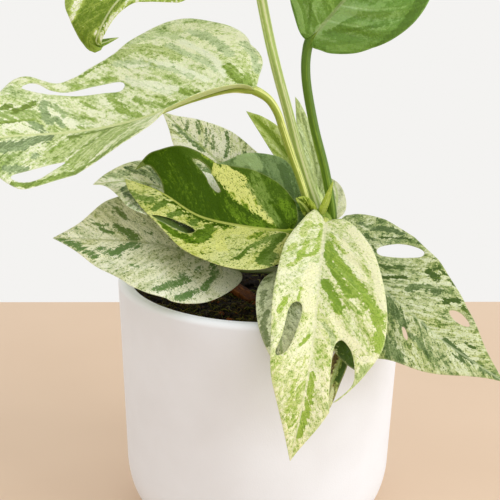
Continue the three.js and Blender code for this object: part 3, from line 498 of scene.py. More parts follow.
# Plain patches and streaks of each leaf: greenness, warmth, half width and a line of flat points, where y is
# over 0 to the right of the midrib and under 0 to its left.
MARKS = dict(
    leaf_left=[
        (0.74, 1, 2.6, [(5, 3), (8, 7), (10, 12)]), (0.62, 1, 1.4, [(3, 4), (4, 9)]),
        (0.5, 0.1, 2.4, [(-2, 12), (0, 20), (3, 28)]), (0.7, 1, 1.3, [(25, 1.4), (29, 4), (32, 8)]),
        (0.7, 1, 1.2, [(35, 1.5), (40, 2)]), (0.62, 0.8, 1.6, [(41, 2), (46, 6), (51, 12)]),
        (0.62, 1, 1.9, [(53, 2), (57, 6), (60, 10), (63, 17)]),
        (0.5, 0.9, 2.6, [(28, 26), (32, 32), (38, 37), (46, 38.6), (57, 38)]),
        (0.58, 1, 1.5, [(36, 25), (40, 29)]), (0.3, 0.8, 2.4, [(18, 41), (24, 43)]),
        (0.4, 0.4, 1.4, [(24, 36), (32, 41), (42, 42)]), (0.46, 0.1, 1.6, [(15, 12), (20, 21), (29, 33)]),
        (0.45, 0, 1.7, [(26, 12), (32, 21), (42, 30), (55, 34)]),
        (0.28, 0.2, 1.6, [(36, 8), (45, 17), (52, 24)]), (0.48, 0.1, 1.6, [(9, 20), (13, 31), (20, 39)]),
        (0.1, 0, 1.4, [(20, 8), (28, 18), (38, 27), (48, 31)]),
        (0.1, 0, 1.2, [(32, 8), (42, 17), (50, 20)]), (0.1, 0, 1.3, [(12, 8), (15, 20), (24, 33)]),
        (0.56, 1, 1.3, [(58, 26.4), (68, 27.5), (78, 25.5)]),
        (0.7, 1, 0.8, [(54, 39), (66, 35.5), (74, 31.5)]), (0.6, 1, 1, [(76, 1.5), (80, 2.5)]),
        (0.66, 1, 0.9, [(70, 12), (76, 17)]), (0.68, 0, 1.4, [(86, 4), (88, 9)]),
        (0.7, 0, 2, [(91, 7), (93, 13), (92, 18)]), (0.7, 0, 1.7, [(96, 4), (99, 7)]),
        (0.62, 0.3, 1.4, [(84, 10), (88, 16)]), (0.6, 0.7, 3, [(96, 12), (103, 13), (110, 13.5)]),
        (0.8, 1, 1, [(98, 9), (104, 9.3), (112, 8.8)]),
        (0.86, 1, 2, [(96.5, 18.5), (101, 17), (105, 14.5)]), (0.8, 0.8, 1.5, [(106, 19.5), (112, 18)]),
        (0.8, 0, 3, [(94, -2.5), (100, -5), (106, -7), (114, -6)]),
        (0.74, 0, 2, [(104, -9.4), (114, -9.6)]), (0.72, 0, 2.4, [(106, -24), (114, -22)]),
        (0.62, 0, 1.4, [(100, -15), (101, -17)]), (0.56, 1, 7, [(64, -12), (72, -18), (82, -24)]),
        (0.5, 1, 6, [(74, -8), (86, -12), (92, -18)]), (0.86, 1, 1.6, [(62, -3), (72, -3.6), (84, -4.4)]),
        (0.84, 1, 1.2, [(68, -6), (74, -12), (79, -16)]), (0.8, 1, 1, [(80, -6), (86, -12), (93, -21)]),
        (0.76, 1, 0.8, [(88, -8), (94, -14), (98, -21)]),
        (0.74, 1, 1.6, [(56, -34.6), (70, -33), (90, -33.4), (104, -35), (114, -32)]),
    ],
    leaf_top_left=[
        (0.8, 1, 6, [(66, 0), (76, 4), (86, 4), (92, 0)]), (0.8, 1, 5, [(72, 8), (84, 10), (90, 2)]),
        (0.3, 0.5, 3, [(70, 14), (76, 14), (82, 13)]), (0.65, 0.2, 1.6, [(76, 18), (82, 16)]),
        (0.2, 1, 0.8, [(72, 1.5), (80, 2), (84, 1)]), (0.3, 1, 1.4, [(62, -5), (70, -4), (80, -3)]),
        (0.85, 1, 2, [(91, -1), (98, 0)]), (0.7, 1, 10, [(40, -14), (20, -10), (30, 14), (50, 12)]),
    ],
    leaf_top_right=[
        (0.84, 1, 2.5, [(24, 27), (36, 28), (46, 25)]), (0.76, 0.3, 0.8, [(8, 2), (20, 12), (34, 22)]),
        (0.56, 0.6, 1.6, [(6, 9), (14, 17), (20, 21)]), (0.45, 0.4, 1.4, [(2, -5), (8, -12), (12, -20)]),
        (0.76, 0.3, 0.8, [(3, -3), (10, -7), (18, -12)]), (0.42, 0, 2.2, [(8, 0.5), (16, 3), (26, 6)]),
    ],
    leaf_front=[
        (0.72, 1, 2, [(18, -2.4), (27, -5.8), (37, -11.4), (44, -16), (51.5, -19.8), (58, -23)]),
        (0.64, 0.9, 2.2, [(57, -22.6), (63, -25), (69, -26.4), (75, -26.4)]),
        (0.1, 0.6, 1.2, [(79, -26.5), (79.4, -23), (79.8, -20)]),
        (0.56, 0.3, 2.4, [(83.4, -22), (87, -20.4), (91, -18), (94, -15.5), (98, -12)]),
        (0.8, 1, 1.7, [(24, -2), (34, -5), (44, -9), (52, -13.5)]),
        (0.72, 0.8, 1.3, [(33, -8), (42, -12), (52, -16)]),
        (0.84, 1, 2.1, [(44, -2), (50, -5), (56, -8), (60, -9)]),
        (0.6, 0.7, 1.2, [(52, -10), (58, -15), (60, -19)]), (0.5, 0, 0.9, [(66, -3), (70, -7), (77, -9)]),
        (0.55, 1, 0.9, [(10, -3), (18, -7), (24, -10)]),
        (0.05, 1, 2.4, [(6, -12), (20, -19), (34, -23), (48, -26), (56, -27.5)]),
        (0.08, 1, 1.5, [(14, -8), (28, -13), (42, -19)]), (0.08, 1, 1.6, [(62, -7), (70, -12), (74, -18)]),
        (0.6, 1, 1.2, [(4, 2), (12, 1.5), (20, 2.2), (28, 4.5), (31, 8)]),
        (0.5, 0.8, 2, [(6, 7), (12, 9), (16, 10)]), (0.62, 1, 1.3, [(20, 7), (28, 9), (32, 10)]),
        (0.55, 1, 1.1, [(24, 12), (31, 15)]), (0.6, 1, 1, [(33, 9), (41, 14)]),
        (0.06, 1, 2.4, [(35, 3), (48, 5), (60, 3)]), (0.6, 1, 0.9, [(51, 7), (57, 8)]),
        (0.6, 1, 1, [(58, 13), (65, 16)]), (0.62, 1, 0.8, [(72, 2), (77, 5)]),
        (0.55, 1, 0.7, [(80, 2), (85, 3)]), (0.66, 1, 1.6, [(88, -1.4), (96, -2), (104, -2), (112, -1.2)]),
        (0.55, 1, 0.9, [(91, 5), (98, 5), (104, 6), (110, 3)]),
        (0.55, 0.8, 1, [(92, 1.5), (100, 3), (108, 2)]),
    ],
    leaf_right=[
        (0.86, 0.6, 1.2, [(23.5, -6), (27, -10), (31, -14.5)]),
        (0.95, 1, 1.1, [(30, -3.5), (33, -7.5), (37, -11.5)]),
        (0.95, 1, 1.9, [(42, -21.5), (45.5, -22), (48, -22)]),
        (0.8, 0, 1.9, [(43, -8), (46, -14), (52.5, -17)]),
        (0.85, 1, 0.9, [(44, -26.5), (49.5, -26), (55.5, -24.5)]),
        (0.95, 1, 1.4, [(57.5, -15.5), (60.5, -20)]), (0.8, 0, 2.6, [(40.5, 2.5), (47, 4.5), (53, 6.5)]),
        (0.7, 0, 3, [(52.5, 18.5), (57.5, 19), (62, 19)]), (0.85, 0, 0.8, [(58, 0), (62, 1)]),
        (0.92, 0, 1.1, [(69.5, -1), (76.5, -0.5), (85, 0.5)]), (0.85, 0.2, 0.9, [(76, 2.5), (81, 2.5)]),
        (0.85, 0.8, 0.8, [(78, -5), (82, -5.5)]), (0.72, 0, 1.3, [(58.5, 8), (65.5, 8)]),
        (0.78, 0, 1.4, [(-3, -13.5), (0, -14.5), (2.5, -16)]),
        (0.82, 0.1, 1.6, [(3.5, -19.5), (6.5, -23.5), (11, -26)]), (0.8, 0.4, 1, [(4, -11), (7.5, -12.5)]),
        (0.92, 1, 0.9, [(9, -16.5), (12.5, -22), (17.5, -27)]), (0.9, 1, 0.9, [(12.5, -10.5), (16, -10.5)]),
        (0.75, 1, 1, [(64, -19), (72, -18)]), (0.75, 0, 1, [(88, 1), (98, 0)]),
        (0.95, 0.7, 8, [(36, 31), (46, 32), (54, 34)]),
    ],
    leaf_folded=[
        (0.87, 1, 9, [(34, 4), (46, 6), (58, 8), (70, 12)]), (0.9, 1, 4, [(44, 13), (56, 15), (66, 17)]),
        (0.74, 1, 3.5, [(-2, 4), (0, 9), (2, 13)]), (0.72, 1, 2.2, [(8, 1), (16, 2.4), (24, 5), (31, 9)]),
        (0.9, 1, 1.4, [(2, 5), (5, 9), (9, 13)]), (0.7, 0.3, 3.6, [(7, 6), (10, 12), (14, 19), (17, 24)]),
        (0.58, 0.3, 1.2, [(10, 6), (14, 12), (18, 17), (22, 20)]), (0.84, 0.7, 4, [(3, 17), (9, 22)]),
        (0.12, 1, 1.5, [(9, 4.5), (12, 6.5), (15, 9)]), (0.12, 1, 3, [(15, 9.5), (19, 12), (23, 16)]),
        (0.12, 1, 4.8, [(24, 15), (28, 18), (31, 20)]), (0.2, 1, 3, [(24, 21), (29, 22.5), (34, 24)]),
        (0.22, 1, 2.8, [(32, 18.5), (37, 22), (44, 23.5)]),
        (0.66, 1, 1.1, [(14, 8), (16, 10.5), (16.5, 13)]), (0.7, 1, 1.2, [(21, 9.5), (23.5, 12), (23, 14)]),
        (0.62, 1, 0.9, [(26, 12.5), (29, 14.5)]), (0.55, 1, 0.8, [(44, 24.6), (56, 24.2)]),
        (0.78, 0.3, 1.8, [(4, -3), (10, -10), (15, -17), (20, -26)]),
        (0.7, 0.1, 2.6, [(14, -20), (18, -26)]), (0.78, 0.4, 1, [(22, -15), (25, -20), (29, -26)]),
        (0.62, 0.3, 1.4, [(6, -3), (14, -9), (21, -14)]), (0.55, 0.8, 1, [(14, -3), (22, -9)]),
        (0.72, 0.7, 2.6, [(38, -6), (39.5, -12), (43, -17.5)]),
        (0.74, 0.9, 1.9, [(44, -18.6), (51, -19), (58, -17.6)]),
        (0.76, 0.8, 1.6, [(41.5, -10), (43.5, -14)]), (0.74, 0.2, 1.3, [(43, -3.5), (46, -8)]),
        (0.74, 0.2, 1.3, [(51, -4), (54, -8), (56, -11)]),
        (0.74, 0.2, 1.2, [(59, -4), (62, -9), (64, -13)]), (0.66, 0, 1.9, [(66, -7), (72, -9), (77, -7.5)]),
        (0.7, 0.6, 0.8, [(31, -3), (33, -7)]), (0.2, 1, 2.5, [(22, -3), (34, -9), (34, -20)]),
    ],
    leaf_lower_left=[
        (0.86, 0, 1.5, [(4, -3), (5, -12), (9, -20), (16, -26), (22, -31)]),
        (0.86, 0, 2.1, [(17, -16), (22, -22), (30, -28), (34, -30)]), (0.7, 0, 1.1, [(2, -6), (4, -14)]),
        (0.7, 0, 1.2, [(10, -6), (12, -9)]), (0.7, 0, 0.9, [(18, -30), (24, -32)]),
        (0.72, 0, 0.8, [(40, -17), (44, -16)]), (0.86, 0, 2.5, [(41, -2), (46, -5), (50, -8), (55, -6.5)]),
        (0.86, 0.2, 2, [(58, -10), (62, -8), (66, -4), (72, -1.5)]),
        (0.04, 0, 4.5, [(-6, -4), (-5, -9), (0, -15)]), (0.92, 0.4, 1.5, [(40, 1.5), (44, 5), (48, 7)]),
        (0.85, 0.3, 0.8, [(50, 4), (56, 5)]), (0.8, 0.3, 0.9, [(52, 8), (58, 8)]),
        (0.8, 0.2, 0.8, [(33, 5), (36, 6)]), (0.7, 0.4, 1.4, [(44, 12), (48, 17)]),
    ],
    leaf_middle_left=[
        (1.05, 1, 4.5, [(22, -24), (33, -25), (44, -25)]), (0.05, 0, 3, [(18, 22), (12, 16), (6, 8)]),
        (0.72, 0, 2.2, [(36, 4), (42, 6), (48, 7)]), (0.6, 0, 1.4, [(50, 5), (56, 4)]),
        (0.75, 0.2, 1.6, [(52, -4), (54, -10), (50, -16)]), (0.7, 0, 1.8, [(30, 10), (38, 13)]),
        (0.72, 0, 1.6, [(40, -12), (44, -20)]), (0.7, 0, 1.5, [(20, -12), (28, -22)]),
        (0.7, 0, 1.5, [(14, 6), (22, 13)]),
    ],
    leaf_back_pale=[
        (0.82, 0, 1, [(31, 4), (35, 9), (39, 13)]), (0.8, 0, 1.2, [(41, -1.5), (50, -1.5), (59, -1.2)]),
        (0.75, 0, 0.8, [(38, 3), (43, 8)]), (0.78, 0, 0.8, [(42, 2), (47, 8)]),
        (0.75, 0, 0.7, [(48, 4), (53, 8)]), (0.75, 0, 0.9, [(54, 2), (57, 5)]),
        (0.75, 0, 0.8, [(20, 4), (26, 12)]), (0.75, 0, 1.1, [(14, -4), (24, -12)]),
        (0.75, 0, 1, [(30, -4), (40, -11)]),
    ],
    leaf_back_round=[
        (0.42, 0, 3, [(24, 10), (28, 13), (31, 10)]), (0.86, 0, 2.4, [(20, 6), (28, 5), (38, 4)]),
        (0.9, 0, 2, [(4, 3), (10, 10), (14, 14)]),
    ],
    leaf_back_olive=[
        (0.9, 1, 1.2, [(16, 1), (28, 1.5), (38, 0.5)]), (0.35, 0.6, 1.2, [(4, 4), (18, 6), (28, 5)]),
    ],
    leaf_back_narrow=[
        (0.8, 0.2, 0.8, [(6, -3), (18, -3.4), (30, -2.4)]), (0.75, 0.3, 0.7, [(10, 1), (26, 1.6), (38, 1)]),
    ],
    leaf_under=[
        (0.86, 0, 1.6, [(30, 6), (36, 7), (42, 6)]), (0.8, 0, 1.1, [(19, 9), (24, 9.5), (28, 8)]),
        (0.78, 0, 1.4, [(44, 3), (54, 2), (60, 1)]), (0.7, 0, 1, [(24, -3), (32, -6)]),
    ],
    leaf_young=[
        (0.75, 0, 1.6, [(3, 2.6), (10, 3.2), (17, 3)]), (0.15, 1, 0.7, [(2, 0.6), (10, 0.4), (18, 0.2)]),
        (0.9, 1, 1.3, [(2, -2.4), (8, -2.6), (15, -2.4)]), (0.35, 0, 1.6, [(18, 1), (21, 0.6)]),
        (0.0, 1, 0.9, [(20, -1), (24, -1.5), (28, -1)]), (0.7, 1, 1, [(25, 0.6), (31, 0.2)]),
    ],
)
SHEATH_MARKS = [
    [(0.32, 1, 2, [(2, 0), (16, 0)])],
    [(0.9, 1, 2.2, [(0, 0), (11, 0)])],
]
SHEATH_LOOK = PLAIN_LOOK | dict(
    cool=[(188, 206, 100), (154, 176, 62), (114, 138, 32), (84, 110, 12)],
    warm=[(192, 206, 90), (154, 174, 50), (112, 136, 22), (82, 106, 8)],
    bias=(0.5, 0.5), hue=0.6, veins=(3.0, 4.0), seed=16, stalk=[(200, 216, 110), (150, 180, 60)],
)


# Curves

def spread(values, share):
    """Values spaced evenly from the joint to the tip, read at each share of the way."""
    values = np.asarray(values, float).reshape(len(values), -1)
    steps = np.linspace(0, 1, len(values))
    return np.stack([np.interp(share, steps, column) for column in values.T], -1)


def smooth_step(value, low, high):
    """0 at low, 1 at high, and smooth between, also where low is the larger one."""
    share = np.clip((value - low) / (high - low), 0, 1)
    return share * share * (3 - 2 * share)


def smooth_line(points, ends, steps=24):
    """A uniform Catmull-Rom line through points. ends is mirrored, doubled or closed."""
    p = np.asarray(points, float)
    if ends == "closed":
        p = np.vstack([p[-1], p, p[0], p[1]])
    elif ends == "mirrored":
        p = np.vstack([2 * p[0] - p[1], p, 2 * p[-1] - p[-2]])
    else:
        p = np.vstack([p[0], p, p[-1]])
    place = np.linspace(0, len(p) - 3, (len(p) - 3) * steps + 1)
    k = np.minimum(place.astype(int), len(p) - 4)
    f = (place - k)[:, None]
    a, b, c, d = p[k], p[k + 1], p[k + 2], p[k + 3]
    return 0.5 * (2 * b + (c - a) * f + (2 * a - 5 * b + 4 * c - d) * f**2 + (3 * b - a - 3 * c + d) * f**3)


def centripetal_line(points, steps):
    """A centripetal Catmull-Rom line through points, which keeps long and short spans smooth."""
    p = np.asarray(points, float)
    p = np.vstack([2 * p[0] - p[1], p, 2 * p[-1] - p[-2]])
    line = [p[1]]
    for k in range(1, len(p) - 2):
        span = np.linalg.norm(np.diff(p[k - 1:k + 3], axis=0), axis=1) ** 0.5
        t0, t1, t2, t3 = np.concatenate([[0], np.cumsum(span)])
        for t in np.linspace(t1, t2, steps + 1)[1:]:
            a = p[k - 1] + (p[k] - p[k - 1]) * (t - t0) / (t1 - t0)
            b = p[k] + (p[k + 1] - p[k]) * (t - t1) / (t2 - t1)
            c = p[k + 1] + (p[k + 2] - p[k + 1]) * (t - t2) / (t3 - t2)
            d = a + (b - a) * (t - t0) / (t2 - t0)
            e = b + (c - b) * (t - t1) / (t3 - t1)
            line.append(d + (e - d) * (t - t1) / (t2 - t1))
    return np.array(line)


def run_along(line):
    """How far along the line each of its points lies."""
    return np.concatenate([[0], np.cumsum(np.linalg.norm(np.diff(line, axis=0), axis=1))])


def evenly(line, step):
    """The line again, with points about step apart."""
    run = run_along(line)
    count = max(3, round(run[-1] / step))
    at = np.linspace(0, run[-1], count + 1)
    return np.stack([np.interp(at, run, column) for column in line.T], -1)


def unit(vectors):
    return vectors / np.maximum(np.linalg.norm(vectors, axis=-1, keepdims=True), 1e-12)


def curve_points(start, pulls, end, steps):
    """A cubic curve in the plane from start to end."""
    a, b, c, d = (np.array(p, float) for p in (start, *pulls, end))
    t = np.linspace(0, 1, steps + 1)[:, None]
    return (1 - t) ** 3 * a + 3 * (1 - t) ** 2 * t * b + 3 * (1 - t) * t**2 * c + t**3 * d


# Meshes

def new_piece(name, vertices, faces, layers, materials, material_of=None):
    """A smooth mesh object from millimetre points, with vector layers that its materials read."""
    mesh = bpy.data.meshes.new(name)
    mesh.from_pydata((np.asarray(vertices) * MM).tolist(), [], faces)
    for layer, values in layers.items():
        data = mesh.attributes.new(layer, "FLOAT_VECTOR", "POINT").data
        data.foreach_set("vector", np.asarray(values, np.float32).ravel())
    for material in materials:
        mesh.materials.append(material)
    if material_of is not None:
        mesh.polygons.foreach_set("material_index", np.asarray(material_of, np.int32))
    mesh.polygons.foreach_set("use_smooth", np.ones(len(faces), bool))
    mesh.update()
    piece = bpy.data.objects.new(name, mesh)
    bpy.context.scene.collection.objects.link(piece)
    return piece


def stand_for(piece, node):
    """The piece stands in the place of the part's node."""
    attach(piece, "root")
    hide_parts(node)


class Shape:
    """Vertices, faces, layers and material numbers of one piece while it grows."""

    def __init__(self, layer_names):
        self.vertices = np.zeros((0, 3))
        self.layers = {name: np.zeros((0, 3)) for name in layer_names}
        self.faces = []
        self.numbers = []

    def add(self, vertices, faces, number=0, **layers):
        first = len(self.vertices)
        self.vertices = np.vstack([self.vertices, vertices])
        for name, held in self.layers.items():
            values = layers.get(name, np.zeros((len(vertices), 3)))
            self.layers[name] = np.vstack([held, values])
        self.faces += [[first + k for k in face] for face in faces]
        self.numbers += [number] * len(faces)

    def piece(self, name, materials):
        return new_piece(name, self.vertices, self.faces, self.layers, materials, self.numbers)


def open_tube(rings, sides):
    """Quads between rings of points."""
    faces = []
    for ring in range(rings - 1):
        for side in range(sides):
            after = (side + 1) % sides
            a, b = ring * sides + side, ring * sides + after
            faces.append([a, b, b + sides, a + sides])
    return faces


def flat_ended(rings, sides):
    """A tube with a flat face at its first and its last ring."""
    first = list(range(sides))[::-1]
    last = [(rings - 1) * sides + k for k in range(sides)]
    return [*open_tube(rings, sides), first, last]


def fan_ended(rings, sides):
    """A tube closed by fans round two end points, which follow the points of its rings."""
    faces = open_tube(rings, sides)
    bottom, top = rings * sides, rings * sides + 1
    last = (rings - 1) * sides
    for side in range(sides):
        after = (side + 1) % sides
        faces.append([bottom, after, side])
        faces.append([top, last + side, last + after])
    return faces


# Flat drawing of a blade

def stroke_points(strokes, sign):
    """The margin of one half, from the joint to the tip."""
    drawn, start = [], (0, 0)
    for stroke in strokes:
        line = smooth_line([start, *stroke], "doubled") * (1, sign)
        drawn.append(evenly(line, MARGIN_STEP)[1:])
        start = stroke[-1]
    return np.vstack(drawn)


def inside(points, loop):
    """Which points lie inside a closed loop."""
    hit = np.zeros(len(points), bool)
    for a, b in zip(loop, np.roll(loop, 1, axis=0)):
        if a[1] == b[1]:
            continue
        crosses = (a[1] > points[:, 1]) != (b[1] > points[:, 1])
        reach = (b[0] - a[0]) * (points[:, 1] - a[1]) / (b[1] - a[1]) + a[0]
        hit ^= crosses & (points[:, 0] < reach)
    return hit


def on_blade(points, loops):
    """Which points lie inside the margin and outside all holes."""
    held = inside(points, loops[0])
    for hole in loops[1:]:
        held &= ~inside(points, hole)
    return held


def margin_distance(points, loops):
    """How far each flat point lies from the nearest margin."""
    line = np.vstack(loops)
    nearest = np.full(len(points), np.inf)
    for block in np.array_split(line, max(1, len(line) // 60)):
        gap = np.linalg.norm(points[:, None] - block[None], axis=2).min(1)
        nearest = np.minimum(nearest, gap)
    return nearest


def flat_blade(drawing):
    """Flat points and triangles that follow the margin and the holes, with the open edges."""
    right = stroke_points(drawing["right"], 1)
    left = stroke_points(drawing["left"], -1)
    loops = [np.vstack([[(0, 0)], right, left[-2::-1]])]
    for sign, points in drawing.get("holes", []):
        hole = evenly(smooth_line(np.array(points) * (1, sign), "closed"), MARGIN_STEP)
        loops.append(hole[:-1])

    low, high = loops[0].min(0), loops[0].max(0)
    row_step = BLADE_STEP * math.sin(math.pi / 3)
    rows = []
    for row in range(math.floor(low[1] / row_step), math.ceil(high[1] / row_step)):
        x = np.arange(low[0] - BLADE_STEP, high[0], BLADE_STEP) + (row % 2) * BLADE_STEP / 2
        rows.append(np.stack([x, np.full(len(x), row * row_step)], -1))
    grid = np.vstack(rows)
    grid = grid[on_blade(grid, loops) & (margin_distance(grid, loops) > 0.6 * BLADE_STEP)]

    edges, first = [], 0
    for loop in loops:
        edges += [(first + k, first + (k + 1) % len(loop)) for k in range(len(loop))]
        first += len(loop)
    points = [Vector(p) for p in np.vstack([*loops, grid])]
    found, _, faces, *_ = delaunay_2d_cdt(points, edges, [], 0, 1e-4)
    flat = np.array([v[:] for v in found])
    triangles = np.array([f for f in faces if len(f) == 3])
    a, b, c = (flat[triangles[:, k]] for k in range(3))
    turn = (b[:, 0] - a[:, 0]) * (c[:, 1] - a[:, 1]) - (b[:, 1] - a[:, 1]) * (c[:, 0] - a[:, 0])
    triangles[turn < 0] = triangles[turn < 0][:, ::-1]
    triangles = triangles[on_blade((a + b + c) / 3, loops) & (np.abs(turn) > 1e-6)]
    used, triangles = np.unique(triangles, return_inverse=True)
    flat, triangles = flat[used], triangles.reshape(-1, 3)
    sides = np.vstack([triangles[:, [0, 1]], triangles[:, [1, 2]], triangles[:, [2, 0]]])
    twins = set(map(tuple, sides[:, ::-1].tolist()))
    open_edges = np.array([s for s in sides.tolist() if tuple(s) not in twins])
    return flat, triangles, open_edges, margin_distance(flat, loops)


# Bent surface of a blade

class Blade:
    """The surface that a flat drawing is laid on."""

    def __init__(self, drawing):
        self.drawing = drawing
        self.line = smooth_line(drawing["rib"], "mirrored", 160)
        self.run = run_along(self.line)
        self.length = self.run[-1]
        self.along = unit(np.gradient(self.line, self.run, axis=0))

    def frame(self, x):
        """Share of the length, midrib point, direction, upper side and sideways direction at x."""
        at = np.clip(x, 0, self.length)
        point = np.stack([np.interp(at, self.run, c) for c in self.line.T], -1)
        along = unit(np.stack([np.interp(at, self.run, c) for c in self.along.T], -1))
        point = point + along * (x - at)[:, None]
        look = spread(self.drawing["face"], at / self.length)
        upper = unit(look - along * (look * along).sum(1, keepdims=True))
        return at / self.length, point, along, upper, np.cross(along, upper)

    def at(self, x, y):
        """Flat points laid on the surface, with the fold rounded at the midrib."""
        share, point, _, upper, side = self.frame(x)
        left, right = self.drawing["fold"]
        tip = np.where(y < 0, spread(left, share)[:, 0], spread(right, share)[:, 0])
        tip = np.radians(tip)[:, None]
        rise = (np.sqrt(y**2 + RIB_ROUND**2) - RIB_ROUND)[:, None]
        return point + side * y[:, None] * np.cos(tip) + upper * rise * np.sin(tip)

    def veins(self, x, y, slopes, curl):
        """For each flat point, where its side vein leaves the midrib and how far out along it lies."""
        out = np.abs(y)
        low, high = np.full(len(x), VEIN_BEFORE), np.full(len(x), self.length + VEIN_BEYOND)
        for _ in range(VEIN_ROUNDS):
            start = (low + high) / 2
            slope = self.vein_slope(start, slopes)
            beyond = np.maximum(start, 0) + slope * out + curl * out**2 > x
            high, low = np.where(beyond, start, high), np.where(beyond, low, start)
        return start, out * np.sqrt(1 + self.vein_slope(start, slopes) ** 2)

    def vein_slope(self, start, slopes):
        """How far a side vein runs towards the tip for each millimetre outwards."""
        near, far = slopes
        grown = near + (far - near) * np.clip(start / self.length, 0, 1)
        return np.where(start < 0, near + start * BASE_FAN, grown)


def mark_values(flat, marks):
    """Greenness, weight and warmth that the plain patches and streaks give each flat point."""
    values = np.zeros((len(flat), 3))
    for tone, warmth, half, points in marks:
        line = np.array(points, float)
        if len(line) > 2:
            line = smooth_line(line, "mirrored", 4)
        gap = np.full(len(flat), np.inf)
        for a, b in zip(line, line[1:]):
            span = b - a
            share = np.clip((flat - a) @ span / (span @ span), 0, 1)
            gap = np.minimum(gap, np.linalg.norm(flat - a - share[:, None] * span, axis=1))
        weight = np.clip(1 - gap / (2 * half), 0, 1)
        wins = weight > values[:, 1]
        values[wins] = np.stack([np.full(wins.sum(), tone), weight[wins], np.full(wins.sum(), warmth)], -1)
    return values


def relief(blade, flat, edge, start, look):
    """Height of the upper side: pillows between side veins, a furrow at the midrib, a slow wave."""
    x, y = flat.T
    phase = start / look["spacing"] + np.where(y < 0, 0.5, 0)
    out = np.abs(y)
    pillow = np.abs(np.sin(math.pi * phase)) ** QUILT_SHARPNESS - QUILT_LEVEL
    pillow = pillow * smooth_step(out, 1, QUILT_REACH) * smooth_step(edge, 0, QUILT_REACH)
    fading = 1 - 0.5 * np.clip(x / blade.length, 0, 1)
    furrow = -FURROW_DEPTH * np.exp(-(y / FURROW_WIDTH) ** 2) * fading
    seed = look["seed"]
    wave = np.sin(x / 8.5 + seed) * np.sin(y / 9.5 + 2 * seed) + 0.6 * np.sin((x + 2 * y) / 6.3 + seed)
    return look["quilt"] * pillow + furrow + WAVE_HEIGHT * wave * smooth_step(out, 3, 16)


def vertex_normals(points, triangles):
    """The mean direction of the triangles round each point, weighted by their area."""
    a, b, c = (points[triangles[:, k]] for k in range(3))
    face = np.cross(b - a, c - a)
    total = np.zeros_like(points)
    for k in range(3):
        np.add.at(total, triangles[:, k], face)
    return unit(total)


def add_blade(shape, blade, look, marks, number=0):
    """A thin blade with two faces and a rounded edge."""
    flat, triangles, open_edges, edge = flat_blade(blade.drawing)
    x, y = flat.T
    start, out = blade.veins(x, y, look["veins"], look["curl"])
    middle = blade.at(x, y)
    upper = -vertex_normals(middle, triangles)
    middle = middle + upper * relief(blade, flat, edge, start, look)[:, None]
    upper = -vertex_normals(middle, triangles)
    fullness = EDGE_SHARE + (1 - EDGE_SHARE) * smooth_step(edge, 0, EDGE_REACH)
    half = 0.5 * BLADE_THICKNESS * fullness[:, None]

    outward = np.zeros_like(middle)
    way = np.cross(middle[open_edges[:, 1]] - middle[open_edges[:, 0]], -upper[open_edges[:, 0]])
    np.add.at(outward, open_edges[:, 0], way)
    np.add.at(outward, open_edges[:, 1], way)
    rim = np.unique(open_edges)
    rim_place = {k: 2 * len(flat) + n for n, k in enumerate(rim.tolist())}
    rim_points = middle[rim] + unit(outward[rim]) * EDGE_ROUND

    count = len(flat)
    faces = triangles[:, ::-1].tolist() + (triangles + count).tolist()
    for a, b in open_edges.tolist():
        faces.append([a, b, rim_place[b], rim_place[a]])
        faces.append([rim_place[a], rim_place[b], b + count, a + count])

    drawn = np.stack([x, y, np.zeros(count)], -1)
    vein = np.stack([start, out, np.zeros(count)], -1)
    paint = mark_values(flat, marks)
    share = np.clip(x / blade.length, 0, 1)
    upper_sheet, lower_sheet = (np.stack([edge, np.full(count, side), share], -1) for side in (0, 1))
    shape.add(
        np.vstack([middle + upper * half, middle - upper * half, rim_points]), faces, number,
        flat=np.vstack([drawn, drawn, drawn[rim]]),
        vein=np.vstack([vein, vein, vein[rim]]),
        paint=np.vstack([paint, paint, paint[rim]]),
        sheet=np.vstack([upper_sheet, lower_sheet, upper_sheet[rim]]),
    )


def stem_core(height):
    """The stem's middle at a height."""
    share = (height - STEM_FOOT[2]) / (STEM_TIP[2] - STEM_FOOT[2])
    return np.array(STEM_FOOT, float) * (1 - share) + np.array(STEM_TIP, float) * share


def stalk_route(blade):
    """Points from the stalk's seat in the stem to the joint."""
    drawing = blade.drawing
    _, joint, along, _, _ = (value[0] for value in blade.frame(np.zeros(1)))
    ahead = joint + along * STALK_AHEAD
    if "via" in drawing:
        return np.array([*drawing["via"], joint, ahead], float)
    height, azimuth = drawing["seat"]
    out = np.array([math.cos(math.radians(azimuth)), math.sin(math.radians(azimuth)), 0])
    core = stem_core(height)
    leave = core + out * (STEM_RADIUS + STALK_OUT) + (0, 0, STALK_RISE)
    enter = joint - along * drawing["lead"]
    return np.array([core + out * (STEM_RADIUS - SOCKET_DEPTH), leave, enter, joint, ahead])


